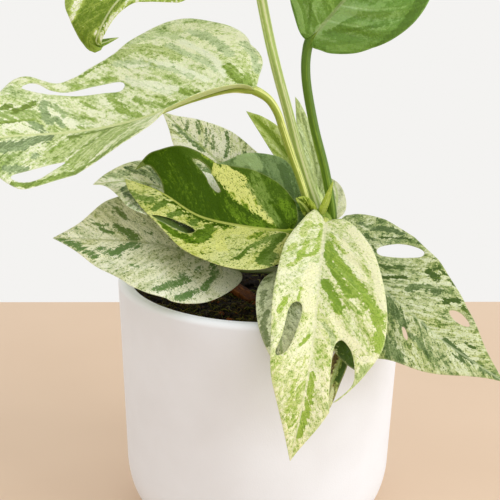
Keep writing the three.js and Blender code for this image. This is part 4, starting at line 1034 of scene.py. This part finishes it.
def add_stalk(shape, blade, dip, number=1):
    """A grooved stalk up to the joint, which runs on below the blade as its tapering midrib. It meets the
    blade dip radii below its surface."""
    radius = blade.drawing["radius"]
    route = centripetal_line(stalk_route(blade), SPAN_STEPS)
    stalk = evenly(route[:-SPAN_STEPS], STALK_STEP)
    joint_upper = blade.frame(np.zeros(1))[3][0]
    to_joint = run_along(stalk)[-1] - run_along(stalk)
    stalk = stalk - joint_upper * (dip * radius * smooth_step(to_joint, 9, 0))[:, None]
    rib_x = np.arange(STALK_STEP, blade.length - RIB_END, STALK_STEP)
    share, rib, _, upper, _ = blade.frame(rib_x)
    taper = blade.drawing.get("taper", RIB_TAPER)
    rib_radius = radius * (RIB_TIP + RIB_JOINT * (1 - share) ** taper)
    sunk = smooth_step(rib_x, 0, 7)
    sink = (rib_radius * RIB_SINK + RIB_COVER) * sunk + dip * radius * (1 - sunk)
    rib = rib - upper * sink[:, None]
    line = np.vstack([stalk, rib])
    run = run_along(line)
    ways = unit(np.gradient(line, run, axis=0))
    ups = np.vstack([np.zeros_like(stalk), upper])
    held = upper[0]
    for k in range(len(stalk) - 1, -1, -1):
        held = unit(held - ways[k] * (held @ ways[k]))
        ups[k] = held
    ups = unit(ups - ways * (ups * ways).sum(1, keepdims=True))
    sides = np.cross(ways, ups)
    to_joint = np.maximum(run[len(stalk) - 1] - run, 0)
    foot_flare = FOOT_FLARE * np.exp(-run / FOOT_FLARE_REACH)
    joint_flare = JOINT_FLARE * np.exp(-to_joint / JOINT_FLARE_REACH)
    width = radius * (1 + foot_flare + joint_flare)
    width[len(stalk):] = rib_radius
    grooved = GROOVE_DEPTH * smooth_step(to_joint, 0, 8) * smooth_step(run, 0, 10)
    turn = np.linspace(0, 2 * math.pi, STALK_SIDES, endpoint=False)
    bend = np.where(turn > math.pi, turn - 2 * math.pi, turn)
    groove = 1 - grooved[:, None] * np.exp(-(bend / GROOVE_WIDTH) ** 2)[None]
    reach = width[:, None] * groove
    across = reach * np.sin(turn)
    high = reach * np.cos(turn)
    rings = line[:, None] + sides[:, None] * across[..., None] + ups[:, None] * high[..., None]
    flat = np.stack([np.repeat(run[:, None], STALK_SIDES, 1), across, high], -1)
    shape.add(rings.reshape(-1, 3), flat_ended(len(line), STALK_SIDES), number, flat=flat.reshape(-1, 3))


# Materials

def linear(colour):
    """A display colour in 0 to 255 as the light that a shader takes."""
    share = np.array(colour, float) / 255
    light = np.where(share <= 0.04045, share / 12.92, ((share + 0.055) / 1.055) ** 2.4)
    return (*light.tolist(), 1.0)


class Nodes:
    """Short calls that build one material's nodes and link them."""

    def __init__(self, name):
        self.material = bpy.data.materials.new(name)
        self.material.use_nodes = True
        self.tree = self.material.node_tree
        self.tree.nodes.clear()

    def add(self, kind, settings, inputs):
        node = self.tree.nodes.new("ShaderNode" + kind)
        for name, value in settings.items():
            setattr(node, name, value)
        for socket, value in inputs.items():
            if isinstance(value, bpy.types.NodeSocket):
                self.tree.links.new(value, node.inputs[socket])
            else:
                node.inputs[socket].default_value = value
        return node.outputs

    def math(self, operation, *values):
        return self.add("Math", dict(operation=operation), dict(enumerate(values)))[0]

    def layer(self, name):
        """The three numbers that the mesh holds in one of its layers."""
        held = self.add("Attribute", dict(attribute_name=name), {})["Vector"]
        return self.add("SeparateXYZ", {}, dict(Vector=held))

    def place(self):
        held = self.add("TexCoord", {}, {})["Object"]
        return self.add("SeparateXYZ", {}, dict(Vector=held))

    def noise(self, x, y, z, detail=3.0, roughness=0.5, distortion=0.0):
        place = self.add("CombineXYZ", {}, dict(X=x, Y=y, Z=z))[0]
        inputs = dict(Vector=place, Scale=1.0, Detail=detail, Roughness=roughness, Distortion=distortion)
        return self.add("TexNoise", {}, inputs)[0]

    def scaled(self, value, factor, plus=0.0):
        return self.math("MULTIPLY_ADD", value, factor, plus)

    def total(self, *swings, base=0.0):
        """base plus each noise's swing about its middle, times a factor."""
        for value, factor in swings:
            base = self.math("ADD", base, self.scaled(value, factor, -0.5 * factor))
        return base

    def step(self, value, low, high):
        """0 up to low, 1 from high, and smooth between."""
        settings = dict(interpolation_type="SMOOTHSTEP")
        inputs = {"Value": value, "From Min": low, "From Max": high}
        if high < low:
            inputs.update({"From Min": high, "From Max": low, "To Min": 1.0, "To Max": 0.0})
        return self.add("MapRange", settings, inputs)[0]

    def blend(self, share, low, high):
        return self.add("Mix", dict(data_type="FLOAT"), {0: share, 2: low, 3: high})[0]

    def mixed(self, share, first, second, how="MIX"):
        settings = dict(data_type="RGBA", blend_type=how)
        return self.add("Mix", settings, {0: share, 6: first, 7: second})[2]

    def ramp(self, value, stops):
        outputs = self.add("ValToRGB", {}, dict(Fac=value))
        elements = self.tree.nodes[-1].color_ramp.elements
        elements[0].position, elements[0].color = stops[0][0], linear(stops[0][1])
        elements[1].position, elements[1].color = stops[-1][0], linear(stops[-1][1])
        for position, colour in stops[1:-1]:
            elements.new(position).color = linear(colour)
        return outputs[0]

    def finish(self, colour, roughness, height, depth, **constants):
        """The one shader of the material, with a bump of that depth in metres from height."""
        bump = self.add("Bump", {}, {"Height": height, "Strength": 1.0, "Distance": depth})[0]
        inputs = {"Base Color": colour, "Roughness": roughness, "Normal": bump}
        inputs.update({name.replace("_", " "): value for name, value in constants.items()})
        shader = self.add("BsdfPrincipled", {}, inputs)[0]
        self.add("OutputMaterial", {}, dict(Surface=shader))
        return self.material


def marbled(colours):
    """Stops that rest on each of four colours in turn, from pale to dark."""
    return [(stop, colours[k // 2]) for k, stop in enumerate(MARBLE_STOPS)]


def blade_material(name, look):
    """A blade's skin: one number, greenness, is read through a cool and a warm ramp of four colours."""
    n = Nodes(name)
    x, y, _ = n.layer("flat")
    start, out, _ = n.layer("vein")
    tone, weight, hue = n.layer("paint")
    edge, under, share = n.layer("sheet")
    side = n.math("SIGN", y)
    seed = look["seed"] * 7.3
    place = n.scaled(side, 3.7, seed)
    further = [n.scaled(place, 1.0, step) for step in (11.0, 31.0, 57.0)]

    # Noises that run along the side veins, and finer ones that lie flat on the blade
    streak = n.noise(n.scaled(start, 0.36), n.scaled(out, 0.11), place, 4.0, 0.6, 0.6)
    patch = n.noise(n.scaled(start, 0.1), n.scaled(out, 0.05), further[1], 3.0)
    mottle = n.noise(n.scaled(x, 0.62), n.scaled(y, 0.62), seed, 4.0, 0.6)
    grain = n.noise(n.scaled(x, 1.9), n.scaled(y, 1.9), seed, 2.0, 0.6)
    dashes = n.noise(n.scaled(start, 1.05), n.scaled(out, 0.42), further[0], 3.0, 0.6)
    dots = n.noise(n.scaled(x, 1.8), n.scaled(y, 1.8), n.scaled(place, 1.0, 83.0), 2.0, 0.5)
    rough, mottled = look["rough"], look["mottled"]
    mixture = n.total((streak, 1.0 * rough), (mottle, 0.8 * rough), (grain, 0.45 * rough**2))

    # Greenness of the leaf's own marbling, of its plain patches, and of the flecks and vein lines over both
    bias = n.blend(n.step(y, -0.1, 0.1), *look["bias"])
    own = n.total(
        (streak, look["streaky"]), (patch, look["patchy"]), (mottle, 1.1 * mottled), (grain, 0.6 * mottled),
        base=bias)
    painted = n.step(n.math("ADD", weight, mixture), 0.42, 0.58)
    inner = n.total((streak, 0.5 * rough), (mottle, 0.45 * rough), (grain, 0.35 * rough), base=tone)
    greenness = n.blend(painted, own, inner)
    flecks = n.total((n.step(dashes, 0.57, 0.64), 0.6), (n.step(dots, 0.6, 0.65), 0.8), base=0.7)
    crowd = n.scaled(n.step(mottle, 0.42, 0.58), 0.4 * look["fleck"], 0.25 * look["fleck"])
    greenness = n.math("ADD", greenness, n.math("MULTIPLY", flecks, crowd))
    phase = n.math("ADD", n.scaled(start, 1 / look["spacing"]), n.scaled(side, 0.25, 0.25))
    off_vein = n.math("PINGPONG", phase, 0.5)
    vein_line = n.math("MULTIPLY", n.step(off_vein, 0.1, 0.02), n.step(edge, 0.5, 9.0))
    greenness = n.math("SUBTRACT", greenness, n.scaled(vein_line, look["vein"]))

    # Colour, with a fine net of shade, the midrib, the rim and the paler underside over it
    warmth = n.noise(n.scaled(start, 0.06), n.scaled(out, 0.03), further[2], 1.0)
    warmth = n.blend(painted, n.total((warmth, 1.6), base=look["hue"]), hue)
    warmth = n.step(warmth, 0.0, 1.0)
    cool = n.ramp(greenness, marbled(look["cool"]))
    warm = n.ramp(greenness, marbled(look["warm"]))
    colour = n.mixed(warmth, cool, warm)
    flat_place = n.add("CombineXYZ", {}, dict(X=x, Y=y, Z=seed))[0]
    cells = n.add("TexVoronoi", dict(feature="DISTANCE_TO_EDGE"), dict(Vector=flat_place, Scale=0.5))[0]
    net = n.step(cells, 0.0, 0.12)
    shade = n.total((grain, 0.3), (mottle, 0.16), base=n.scaled(net, 0.06, 0.94))
    shade = n.add("CombineXYZ", {}, dict(X=shade, Y=shade, Z=shade))[0]
    colour = n.mixed(1.0, colour, shade, "MULTIPLY")
    rib_half = n.scaled(share, -0.7 * look["rib_wide"], 1.05 * look["rib_wide"])
    from_rib = n.math("DIVIDE", n.math("ABSOLUTE", y), rib_half)
    rib_line = n.scaled(n.step(from_rib, 1.25, 0.6), look["rib"])
    colour = n.mixed(rib_line, colour, linear(look.get("rib_colour", look["stalk"][0])))
    rim_line = n.scaled(n.step(edge, 0.55, 0.15), look["rim"])
    colour = n.mixed(rim_line, colour, linear(look["cool"][1]))
    under_share, under_colour = look["under"]
    colour = n.mixed(n.scaled(under, under_share), colour, linear(under_colour))

    roughness = n.scaled(grain, 0.16, 0.34)
    height = n.total((grain, 0.4), (mottle, 0.5), (net, 0.35), (vein_line, -0.35), base=0.5)
    return n.finish(
        colour, roughness, height, 0.0003,
        Subsurface_Weight=0.12, Subsurface_Radius=(1.0, 1.0, 0.4), Subsurface_Scale=0.0008,
        Specular_IOR_Level=look["shine"],
    )


def stalk_material(name, look):
    """Green skin with long streaks."""
    n = Nodes(name)
    run, across, high = n.layer("flat")
    seed = look["seed"] * 5.1
    stripe = n.noise(n.scaled(run, 0.008), n.scaled(across, 0.8), n.scaled(high, 0.8, seed), 3.0, 0.65)
    grain = n.noise(n.scaled(run, 0.5), n.scaled(across, 1.5), n.scaled(high, 1.5, seed), 3.0)
    main, streak = look["stalk"]
    dark = tuple(0.8 * channel for channel in streak)
    stops = [(0.34, main), (0.44, main), (0.5, streak), (0.58, streak), (0.68, dark)]
    colour = n.ramp(n.math("ADD", stripe, n.scaled(grain, 0.12, -0.06)), stops)
    height = n.math("ADD", n.scaled(stripe, 0.7), n.scaled(grain, 0.3))
    return n.finish(
        colour, n.scaled(grain, 0.2, 0.36), height, 0.0003,
        Subsurface_Weight=0.1, Subsurface_Radius=(1.0, 1.0, 0.4), Subsurface_Scale=0.0015,
        Specular_IOR_Level=0.4,
    )


def in_millimetres(n, x, y, z, per_mm, seed=0.0, **settings):
    """Noise in space, with so many swings to the millimetre."""
    factor = per_mm / MM
    return n.noise(n.scaled(x, factor), n.scaled(y, factor), n.scaled(z, factor, seed), **settings)


def pot_material():
    n = Nodes("matte_white_glaze")
    x, y, z = n.place()
    cloud = in_millimetres(n, x, y, z, 0.03)
    grain = in_millimetres(n, x, y, z, 1.6, 5.0, detail=4.0)
    speck = in_millimetres(n, x, y, z, 0.5, 9.0, detail=5.0, roughness=0.7)
    colour = n.ramp(cloud, [(0.3, (232, 235, 241)), (0.7, (238, 242, 249))])
    # Painted light: a paler band of colour on the top of the lip, as if it were lit more from above
    lip = n.step(z, LIP_PAINTED_LIGHT_FROM * MM, LIP_PAINTED_LIGHT_FULL * MM)
    colour = n.mixed(lip, colour, linear((246, 249, 253)))
    colour = n.mixed(n.scaled(n.step(speck, 0.7, 0.78), 0.12), colour, linear((190, 178, 160)))
    return n.finish(colour, n.scaled(grain, 0.14, 0.46), grain, 0.00006, Specular_IOR_Level=0.35)


def soil_material():
    n = Nodes("dark_potting_mix")
    x, y, z = n.place()
    tone, rusty, _ = n.layer("crumb")
    coarse = in_millimetres(n, x, y, z, 0.35, 2.0, detail=5.0, roughness=0.65)
    fine = in_millimetres(n, x, y, z, 1.7, 7.0, detail=4.0)
    value = n.math("ADD", n.scaled(coarse, 1.1, -0.05), n.scaled(tone, 0.5))
    stops = [(0.3, (14, 10, 7)), (0.5, (32, 23, 15)), (0.66, (62, 46, 28)), (0.9, (110, 84, 50))]
    dark = n.ramp(value, stops)
    rust = n.ramp(fine, [(0.3, (96, 50, 22)), (0.7, (176, 104, 50))])
    colour = n.mixed(rusty, dark, rust)
    roughness = n.scaled(fine, 0.2, 0.78)
    return n.finish(colour, roughness, n.math("ADD", coarse, fine), 0.0012, Specular_IOR_Level=0.2)


def moss_material():
    n = Nodes("dry_moss")
    x, y, z = n.place()
    tone, gold, _ = n.layer("thread")
    fine = in_millimetres(n, x, y, z, 0.9, 3.0)
    value = n.math("ADD", tone, n.scaled(fine, 0.3, -0.15))
    green = n.ramp(value, [(0.1, (26, 27, 6)), (0.5, (74, 76, 18)), (0.9, (124, 124, 40))])
    straw = n.ramp(value, [(0.1, (46, 33, 12)), (0.5, (104, 80, 32)), (0.9, (152, 126, 66))])
    colour = n.mixed(gold, green, straw)
    return n.finish(colour, n.scaled(fine, 0.2, 0.6), fine, 0.0002, Specular_IOR_Level=0.2)


def bark_material():
    n = Nodes("orange_brown_bark")
    x, y, z = n.place()
    along, across, _ = n.layer("flat")
    grain = n.noise(n.scaled(along, 0.16), n.scaled(across, 1.1), 4.0, 4.0, 0.6, 0.6)
    fine = in_millimetres(n, x, y, z, 1.4, 3.0, detail=4.0)
    value = n.math("ADD", grain, n.scaled(fine, 0.3, -0.15))
    stops = [(0.3, (38, 18, 4)), (0.45, (76, 40, 10)), (0.6, (110, 62, 18)), (0.8, (150, 98, 44))]
    return n.finish(n.ramp(value, stops), n.scaled(fine, 0.2, 0.7), value, 0.0009, Specular_IOR_Level=0.08)


def stem_material():
    n = Nodes("vine_stem")
    x, y, z = n.place()
    grain = n.noise(n.scaled(x, 0.9 / MM), n.scaled(y, 0.9 / MM), n.scaled(z, 0.12 / MM), 4.0, 0.6)
    cloud = in_millimetres(n, x, y, z, 0.12, 6.0)
    green = n.ramp(grain, [(0.3, (158, 180, 78)), (0.5, (128, 152, 50)), (0.7, (92, 116, 32))])
    brown = n.ramp(grain, [(0.3, (150, 146, 84)), (0.6, (112, 108, 48)), (0.8, (78, 72, 30))])
    low = n.step(z, WOODY_UP_TO * MM, WOODY_FULL * MM)
    woody = n.math("MULTIPLY", n.step(cloud, 0.52, 0.66), low)
    colour = n.mixed(woody, green, brown)
    return n.finish(colour, n.scaled(grain, 0.2, 0.46), grain, 0.0006, Specular_IOR_Level=0.35)


def table_material():
    n = Nodes("pale_table")
    x, y, z = n.place()
    cloud = in_millimetres(n, x, y, z, 0.004)
    fine = in_millimetres(n, x, y, z, 0.3, 4.0)
    colour = n.ramp(cloud, [(0.35, (224, 197, 170)), (0.65, (231, 205, 179))])
    return n.finish(colour, n.scaled(fine, 0.1, 0.6), fine, 0.00002, Specular_IOR_Level=0.25)


# Pot

def lathe(profile, sides):
    """Vertices and faces of a turned body, whose profile starts and ends on the axis."""
    profile = np.array(profile, float)
    turn = np.linspace(0, 2 * math.pi, sides, endpoint=False)
    rings = []
    for radius, height in profile[1:-1]:
        rings.append([radius * np.cos(turn), radius * np.sin(turn), np.full(sides, height)])
    vertices = np.array(rings).transpose(0, 2, 1).reshape(-1, 3)
    ends = [(0, 0, profile[0][1]), (0, 0, profile[-1][1])]
    return np.vstack([vertices, ends]), fan_ended(len(rings), sides)


def lip_arc(centre_radius, start, end):
    """Points round one edge of the lip, from start to end in degrees."""
    turn = np.radians(np.linspace(start, end, LIP_STEPS))
    centre_height = LIP_TOP - LIP_ROUND
    return [(centre_radius + LIP_ROUND * math.cos(t), centre_height + LIP_ROUND * math.sin(t)) for t in turn]


CAVITY = curve_points(
    (POT_FOOT_RADIUS - POT_WALL, POT_FLOOR), CAVITY_CORNER_PULL,
    (POT_CORNER_RADIUS - POT_WALL, CAVITY_CORNER_TOP), CORNER_STEPS)


def make_pot():
    """The pot as one turned body, outside first and then the cavity down to its floor."""
    corner = (POT_CORNER_RADIUS, POT_CORNER_TOP)
    foot = curve_points((POT_FOOT_RADIUS, 0), POT_CORNER_PULL, corner, CORNER_STEPS)
    lip_radius = POT_RADIUS - LIP_WIDTH
    outer_lip = lip_arc(POT_RADIUS - LIP_ROUND, 0, 90)
    inner_lip = lip_arc(lip_radius + LIP_ROUND, 90, 180)
    under_lip = [(lip_radius + step_out, height) for step_out, height in UNDER_LIP]
    wall = np.linspace(foot[-1], outer_lip[0], WALL_STEPS)[1:-1]
    inner_wall = np.linspace(under_lip[-1], CAVITY[-1], WALL_STEPS)[1:-1]
    base = [(radius, 0) for radius in BASE_RADII]
    floor = [(radius, POT_FLOOR) for radius in FLOOR_RADII]
    outside = [(0, 0), *base, *foot, *wall, *outer_lip]
    inner_side = [*inner_lip, *under_lip, *inner_wall, *CAVITY[::-1], *floor, (0, POT_FLOOR)]
    vertices, faces = lathe(outside + inner_side, POT_SIDES)
    stand_for(new_piece("glazed_pot", vertices, faces, {}, [pot_material()]), "pot")


# Soil

def rough_noise(x, y, scale, seed):
    """Layered noise at a flat place, with swings about as long as scale."""
    place = Vector((x / scale, y / scale, seed))
    return noise.fractal(place, 0.9, 2.0, 4)


def scattered(rng, reach):
    """A random place within reach of the pot's axis."""
    radius = reach * math.sqrt(rng.random())
    turn = rng.uniform(0, 2 * math.pi)
    return radius * math.cos(turn), radius * math.sin(turn)


def soil_height(x, y):
    """Height of the soil's surface: the part's slow swell, with lumps that sink away round the chip."""
    swell = math.sin(x / 9) * math.cos(y / 7) + 0.5 * math.sin((x - y) / 5)
    from_chip = (x - BARK_PLACE[0]) ** 2 + (y - BARK_PLACE[1]) ** 2
    near_chip = math.exp(-(from_chip / CHIP_REACH**2))
    lumps = sum(height * rough_noise(x, y, size, seed) for height, size, seed in SOIL_LUMPS)
    return SOIL_TOP + SOIL_SWELL * swell + lumps * (1 - CHIP_CALM * near_chip) - CHIP_HOLLOW * near_chip


def make_soil(rng):
    """The soil as one turned body with a lumpy top, and small crumbs scattered over it."""
    wall_slope = (POT_RADIUS - POT_CORNER_RADIUS) / (POT_HEIGHT - POT_CORNER_TOP)
    rim = POT_RADIUS - POT_WALL - SOIL_GAP - wall_slope * (POT_HEIGHT - SOIL_TOP)
    sides = [(radius - SOIL_GAP, height + SOIL_GAP) for radius, height in CAVITY]
    shoulder = (rim - SOIL_SHOULDER, SOIL_SHOULDER_HEIGHT)
    top = [(radius, SOIL_TOP) for radius in np.linspace(rim, 0, SOIL_RINGS)]
    profile = [(0, POT_FLOOR + SOIL_GAP), *sides, shoulder, *top]
    vertices, faces = lathe(profile, SOIL_SIDES)
    for vertex in vertices:
        if vertex[2] > SOIL_TOP - 0.5:
            vertex[2] = soil_height(vertex[0], vertex[1])
    shape = Shape(["crumb"])
    shape.add(vertices, faces)
    lump, lump_faces = crumb_form()
    for _ in range(CRUMBS):
        x, y = scattered(rng, rim - CRUMB_MARGIN)
        size = rng.uniform(*CRUMB_SIZES) * rng.uniform(*CRUMB_VARIETY)
        spin = Matrix.Rotation(rng.uniform(0, CRUMB_SPIN), 3, (rng.random(), rng.random(), rng.random()))
        stretch = np.array([rng.uniform(*span) for span in CRUMB_STRETCH])
        points = (lump * stretch) @ np.array(spin) * size
        rusty = float(rng.random() < RUSTY_SHARE)
        tone = rng.uniform(*CRUMB_TONES)
        centre = (x, y, soil_height(x, y) + 0.2 * size)
        shape.add(points + centre, lump_faces, crumb=np.tile((tone, rusty, 0), (len(points), 1)))
    stand_for(shape.piece("crumbly_soil", [soil_material()]), "soil")


def crumb_form():
    """A small angular lump."""
    built = bmesh.new()
    bmesh.ops.create_icosphere(built, subdivisions=1, radius=1)
    points = np.array([v.co[:] for v in built.verts])
    faces = [[v.index for v in face.verts] for face in built.faces]
    built.free()
    points *= np.array([1 + 0.35 * noise.noise(Vector(p * 2.3)) for p in points])[:, None]
    return points, faces


def add_thread(shape, line, radius, layer):
    """One thin three-sided thread along a line."""
    ways = unit(np.gradient(line, axis=0))
    ups = unit(np.cross(ways, np.cross((0.3, 0.2, 1), ways)))
    sides = np.cross(ways, ups)
    turn = np.linspace(0, 2 * math.pi, THREAD_SIDES, endpoint=False)
    taper = radius * np.sin(np.linspace(0.5, math.pi - 0.35, len(line))) ** 0.6
    rings = line[:, None] + taper[:, None, None] * (
        sides[:, None] * np.sin(turn)[None, :, None] + ups[:, None] * np.cos(turn)[None, :, None])
    points = rings.reshape(-1, 3)
    shape.add(points, flat_ended(len(line), THREAD_SIDES), thread=np.tile(layer, (len(points), 1)))


def make_moss(rng):
    """Dry moss threads that lie on the soil, thickest towards the front."""
    shape = Shape(["thread"])
    rim = POT_RADIUS - POT_WALL - MOSS_MARGIN
    while len(shape.vertices) < MOSS_THREADS * THREAD_POINTS * THREAD_SIDES:
        x, y = scattered(rng, rim)
        thick = 0.35 + 0.5 * rough_noise(x, y, 14, 3.3) - y / 90
        if rng.random() > thick:
            continue
        length = rng.uniform(*THREAD_LENGTHS)
        way = rng.uniform(0, 2 * math.pi)
        bend = rng.uniform(-THREAD_BEND, THREAD_BEND)
        lift = rng.uniform(*THREAD_LIFTS)
        line = []
        for share in np.linspace(0, 1, THREAD_POINTS):
            angle = way + bend * share
            px = x + length * (share - 0.5) * math.cos(angle)
            py = y + length * (share - 0.5) * math.sin(angle)
            over = max(1, math.hypot(px, py) / rim)
            px, py = px / over, py / over
            line.append((px, py, soil_height(px, py) + 0.15 + lift * math.sin(math.pi * share)))
        layer = (rng.uniform(0.05, 0.95), float(rng.random() < STRAW_SHARE) * rng.uniform(0.5, 1), 0)
        add_thread(shape, np.array(line), rng.uniform(*THREAD_RADII), layer)
    piece = shape.piece("dry_moss_threads", [moss_material()])
    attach(piece, "root")


# Bark chip

def make_bark():
    """The chip as a flat ridged splinter."""
    outline = evenly(smooth_line(BARK_OUTLINE, "closed", 12), 0.5)[:-1]
    centre = outline.mean(0)
    rings = []
    for side, reach in BARK_LEVELS:
        ring = centre + (outline - centre) * reach
        crown = BARK_CROWN * (1 - reach) if abs(side) == 1 else 0
        rings.append(np.column_stack([ring, np.full(len(ring), side * (BARK_DEPTH / 2 + crown))]))
    vertices = np.vstack([*rings, [(*centre, -BARK_DEPTH / 2)], [(*centre, BARK_DEPTH / 2)]])
    faces = fan_ended(len(rings), len(outline))
    flat = vertices.copy()
    for k, (x, y, z) in enumerate(flat):
        ridge = BARK_RIDGE * noise.fractal(Vector((x / 9, y / 1.1, 2.5)), 0.9, 2.0, 4)
        vertices[k][2] += ridge * np.sign(z)
        vertices[k][:2] += BARK_WANDER * noise.noise(Vector((x, y, z)))
    turned = Matrix.Rotation(BARK_TURN, 3, "Z") @ Matrix.Rotation(BARK_TILT, 3, "X")
    vertices = vertices @ np.array(turned).T + BARK_PLACE
    stand_for(new_piece("bark_splinter", vertices, faces, dict(flat=flat), [bark_material()]), "bark_chip")


# Stem

def make_stem():
    """The vine stem with a scar ring at each joint, a rounded crown and its two sheaths."""
    foot, tip = np.array(STEM_FOOT, float), np.array(STEM_TIP, float)
    along = unit(tip - foot)
    sideways = unit(np.cross(along, (0, 1, 0)))
    ahead = np.cross(along, sideways)
    turn = np.linspace(0, 2 * math.pi, STEM_SIDES, endpoint=False)
    rise = np.linspace(0, np.linalg.norm(tip - foot), STEM_RINGS)
    from_scar = rise % SCAR_SPACING - SCAR_SPACING / 2
    radii = STEM_RADIUS * (STEM_SLIM + SCAR_RISE * np.exp(-(from_scar / SCAR_WIDTH) ** 2))
    crown = CROWN_RINGS * math.pi / 2
    rise = np.concatenate([rise, rise[-1] + STEM_RADIUS * np.sin(crown)])
    radii = np.concatenate([radii, STEM_SLIM * STEM_RADIUS * np.cos(crown)])
    radii *= 1 + CROWN_SWELL * np.exp(-((rise - CROWN_MIDDLE) / CROWN_SPREAD) ** 2)
    circle = [(2 * math.cos(t), 2 * math.sin(t)) for t in turn]
    lumps = np.array([[noise.noise(Vector((*place, r / 9))) for place in circle] for r in rise])
    reach = radii[:, None] * (1 + STEM_LUMPS * lumps)
    rings = (foot + along * rise[:, None])[:, None] + reach[..., None] * (
        ahead * np.cos(turn)[:, None] + sideways * np.sin(turn)[:, None])
    shape = Shape(LEAF_LAYERS)
    shape.add(rings.reshape(-1, 3), flat_ended(len(rise), STEM_SIDES))
    for sheath, marks in zip(SHEATHS, SHEATH_MARKS):
        add_blade(shape, Blade(sheath), SHEATH_LOOK, marks, 1)
    materials = [stem_material(), blade_material("sheath_skin", SHEATH_LOOK)]
    stand_for(shape.piece("vine_stem_skin", materials), "stem")


# Leaves

def make_leaf(name, drawing):
    """One leaf, blade and stalk together."""
    look = PLAIN_LOOK | LOOKS[name]
    blade = Blade(drawing)
    shape = Shape(LEAF_LAYERS)
    add_blade(shape, blade, look, MARKS.get(name, []))
    add_stalk(shape, blade, look["dip"])
    materials = [blade_material(f"{name}_blade", look), stalk_material(f"{name}_stalk", look)]
    stand_for(shape.piece(f"living_{name}", materials), name)


# Light, table and camera

def make_table():
    """A plain slab whose back edge lies where the photograph shows it."""
    half = TABLE_SIZE / 2
    along = (math.cos(TABLE_TURN), math.sin(TABLE_TURN))
    across = (along[1], -along[0])
    corners = []
    for run, reach in ((-half, TABLE_SIZE), (half, TABLE_SIZE), (half, 0), (-half, 0)):
        x = along[0] * run + across[0] * reach
        y = TABLE_BACK + along[1] * run + across[1] * reach
        corners.append((x, y))
    vertices = [(x, y, -TABLE_DEPTH) for x, y in corners] + [(x, y, 0) for x, y in corners]
    faces = [[3, 2, 1, 0], [4, 5, 6, 7]] + [[k, (k + 1) % 4, (k + 1) % 4 + 4, k + 4] for k in range(4)]
    table = new_piece("table_top", vertices, faces, {}, [table_material()])
    table.data.polygons.foreach_set("use_smooth", np.zeros(len(faces), bool))


def make_light():
    """A soft even sky and one large lamp."""
    scene = bpy.context.scene
    world = bpy.data.worlds.new("studio")
    world.use_nodes = True
    sky = world.node_tree.nodes["Background"]
    sky.inputs["Color"].default_value = linear(SKY_COLOUR)
    sky.inputs["Strength"].default_value = SKY_STRENGTH
    scene.world = world
    lamp = bpy.data.lights.new("window", "AREA")
    lamp.size = LAMP_SIZE
    lamp.energy = LAMP_POWER
    lamp.color = LAMP_COLOUR
    lamp_object = bpy.data.objects.new("window", lamp)
    lamp_object.location = LAMP_PLACE
    aim = Vector(LAMP_AIM) - Vector(LAMP_PLACE)
    lamp_object.rotation_euler = aim.to_track_quat("-Z", "Y").to_euler()
    scene.collection.objects.link(lamp_object)
    scene.view_settings.view_transform = "Standard"
    scene.view_settings.look = "None"


def make_camera():
    """The camera at the photograph's angle."""
    pitch, yaw, roll = CAMERA_PITCH, CAMERA_YAW, CAMERA_ROLL
    ahead = Vector((math.sin(yaw) * math.cos(pitch), math.cos(yaw) * math.cos(pitch), -math.sin(pitch)))
    level = Vector((math.cos(yaw), -math.sin(yaw), 0))
    upright = level.cross(ahead)
    right = level * math.cos(roll) + upright * math.sin(roll)
    up = upright * math.cos(roll) - level * math.sin(roll)
    camera = bpy.data.cameras.new("camera")
    camera.lens = CAMERA_LENS
    camera.sensor_width = CAMERA_SENSOR
    camera.clip_start = 0.01
    camera.clip_end = 20
    camera_object = bpy.data.objects.new("camera", camera)
    turn = Matrix((right, up, -ahead)).transposed().to_4x4()
    camera_object.matrix_world = Matrix.Translation(Vector(CAMERA_PLACE) * MM) @ turn
    bpy.context.scene.collection.objects.link(camera_object)
    bpy.context.scene.camera = camera_object


make_camera()
make_light()
make_table()
make_pot()
make_soil(random.Random(11))
make_moss(random.Random(23))
make_bark()
make_stem()
for leaf_name, leaf_drawing in LEAVES.items():
    make_leaf(leaf_name, leaf_drawing)
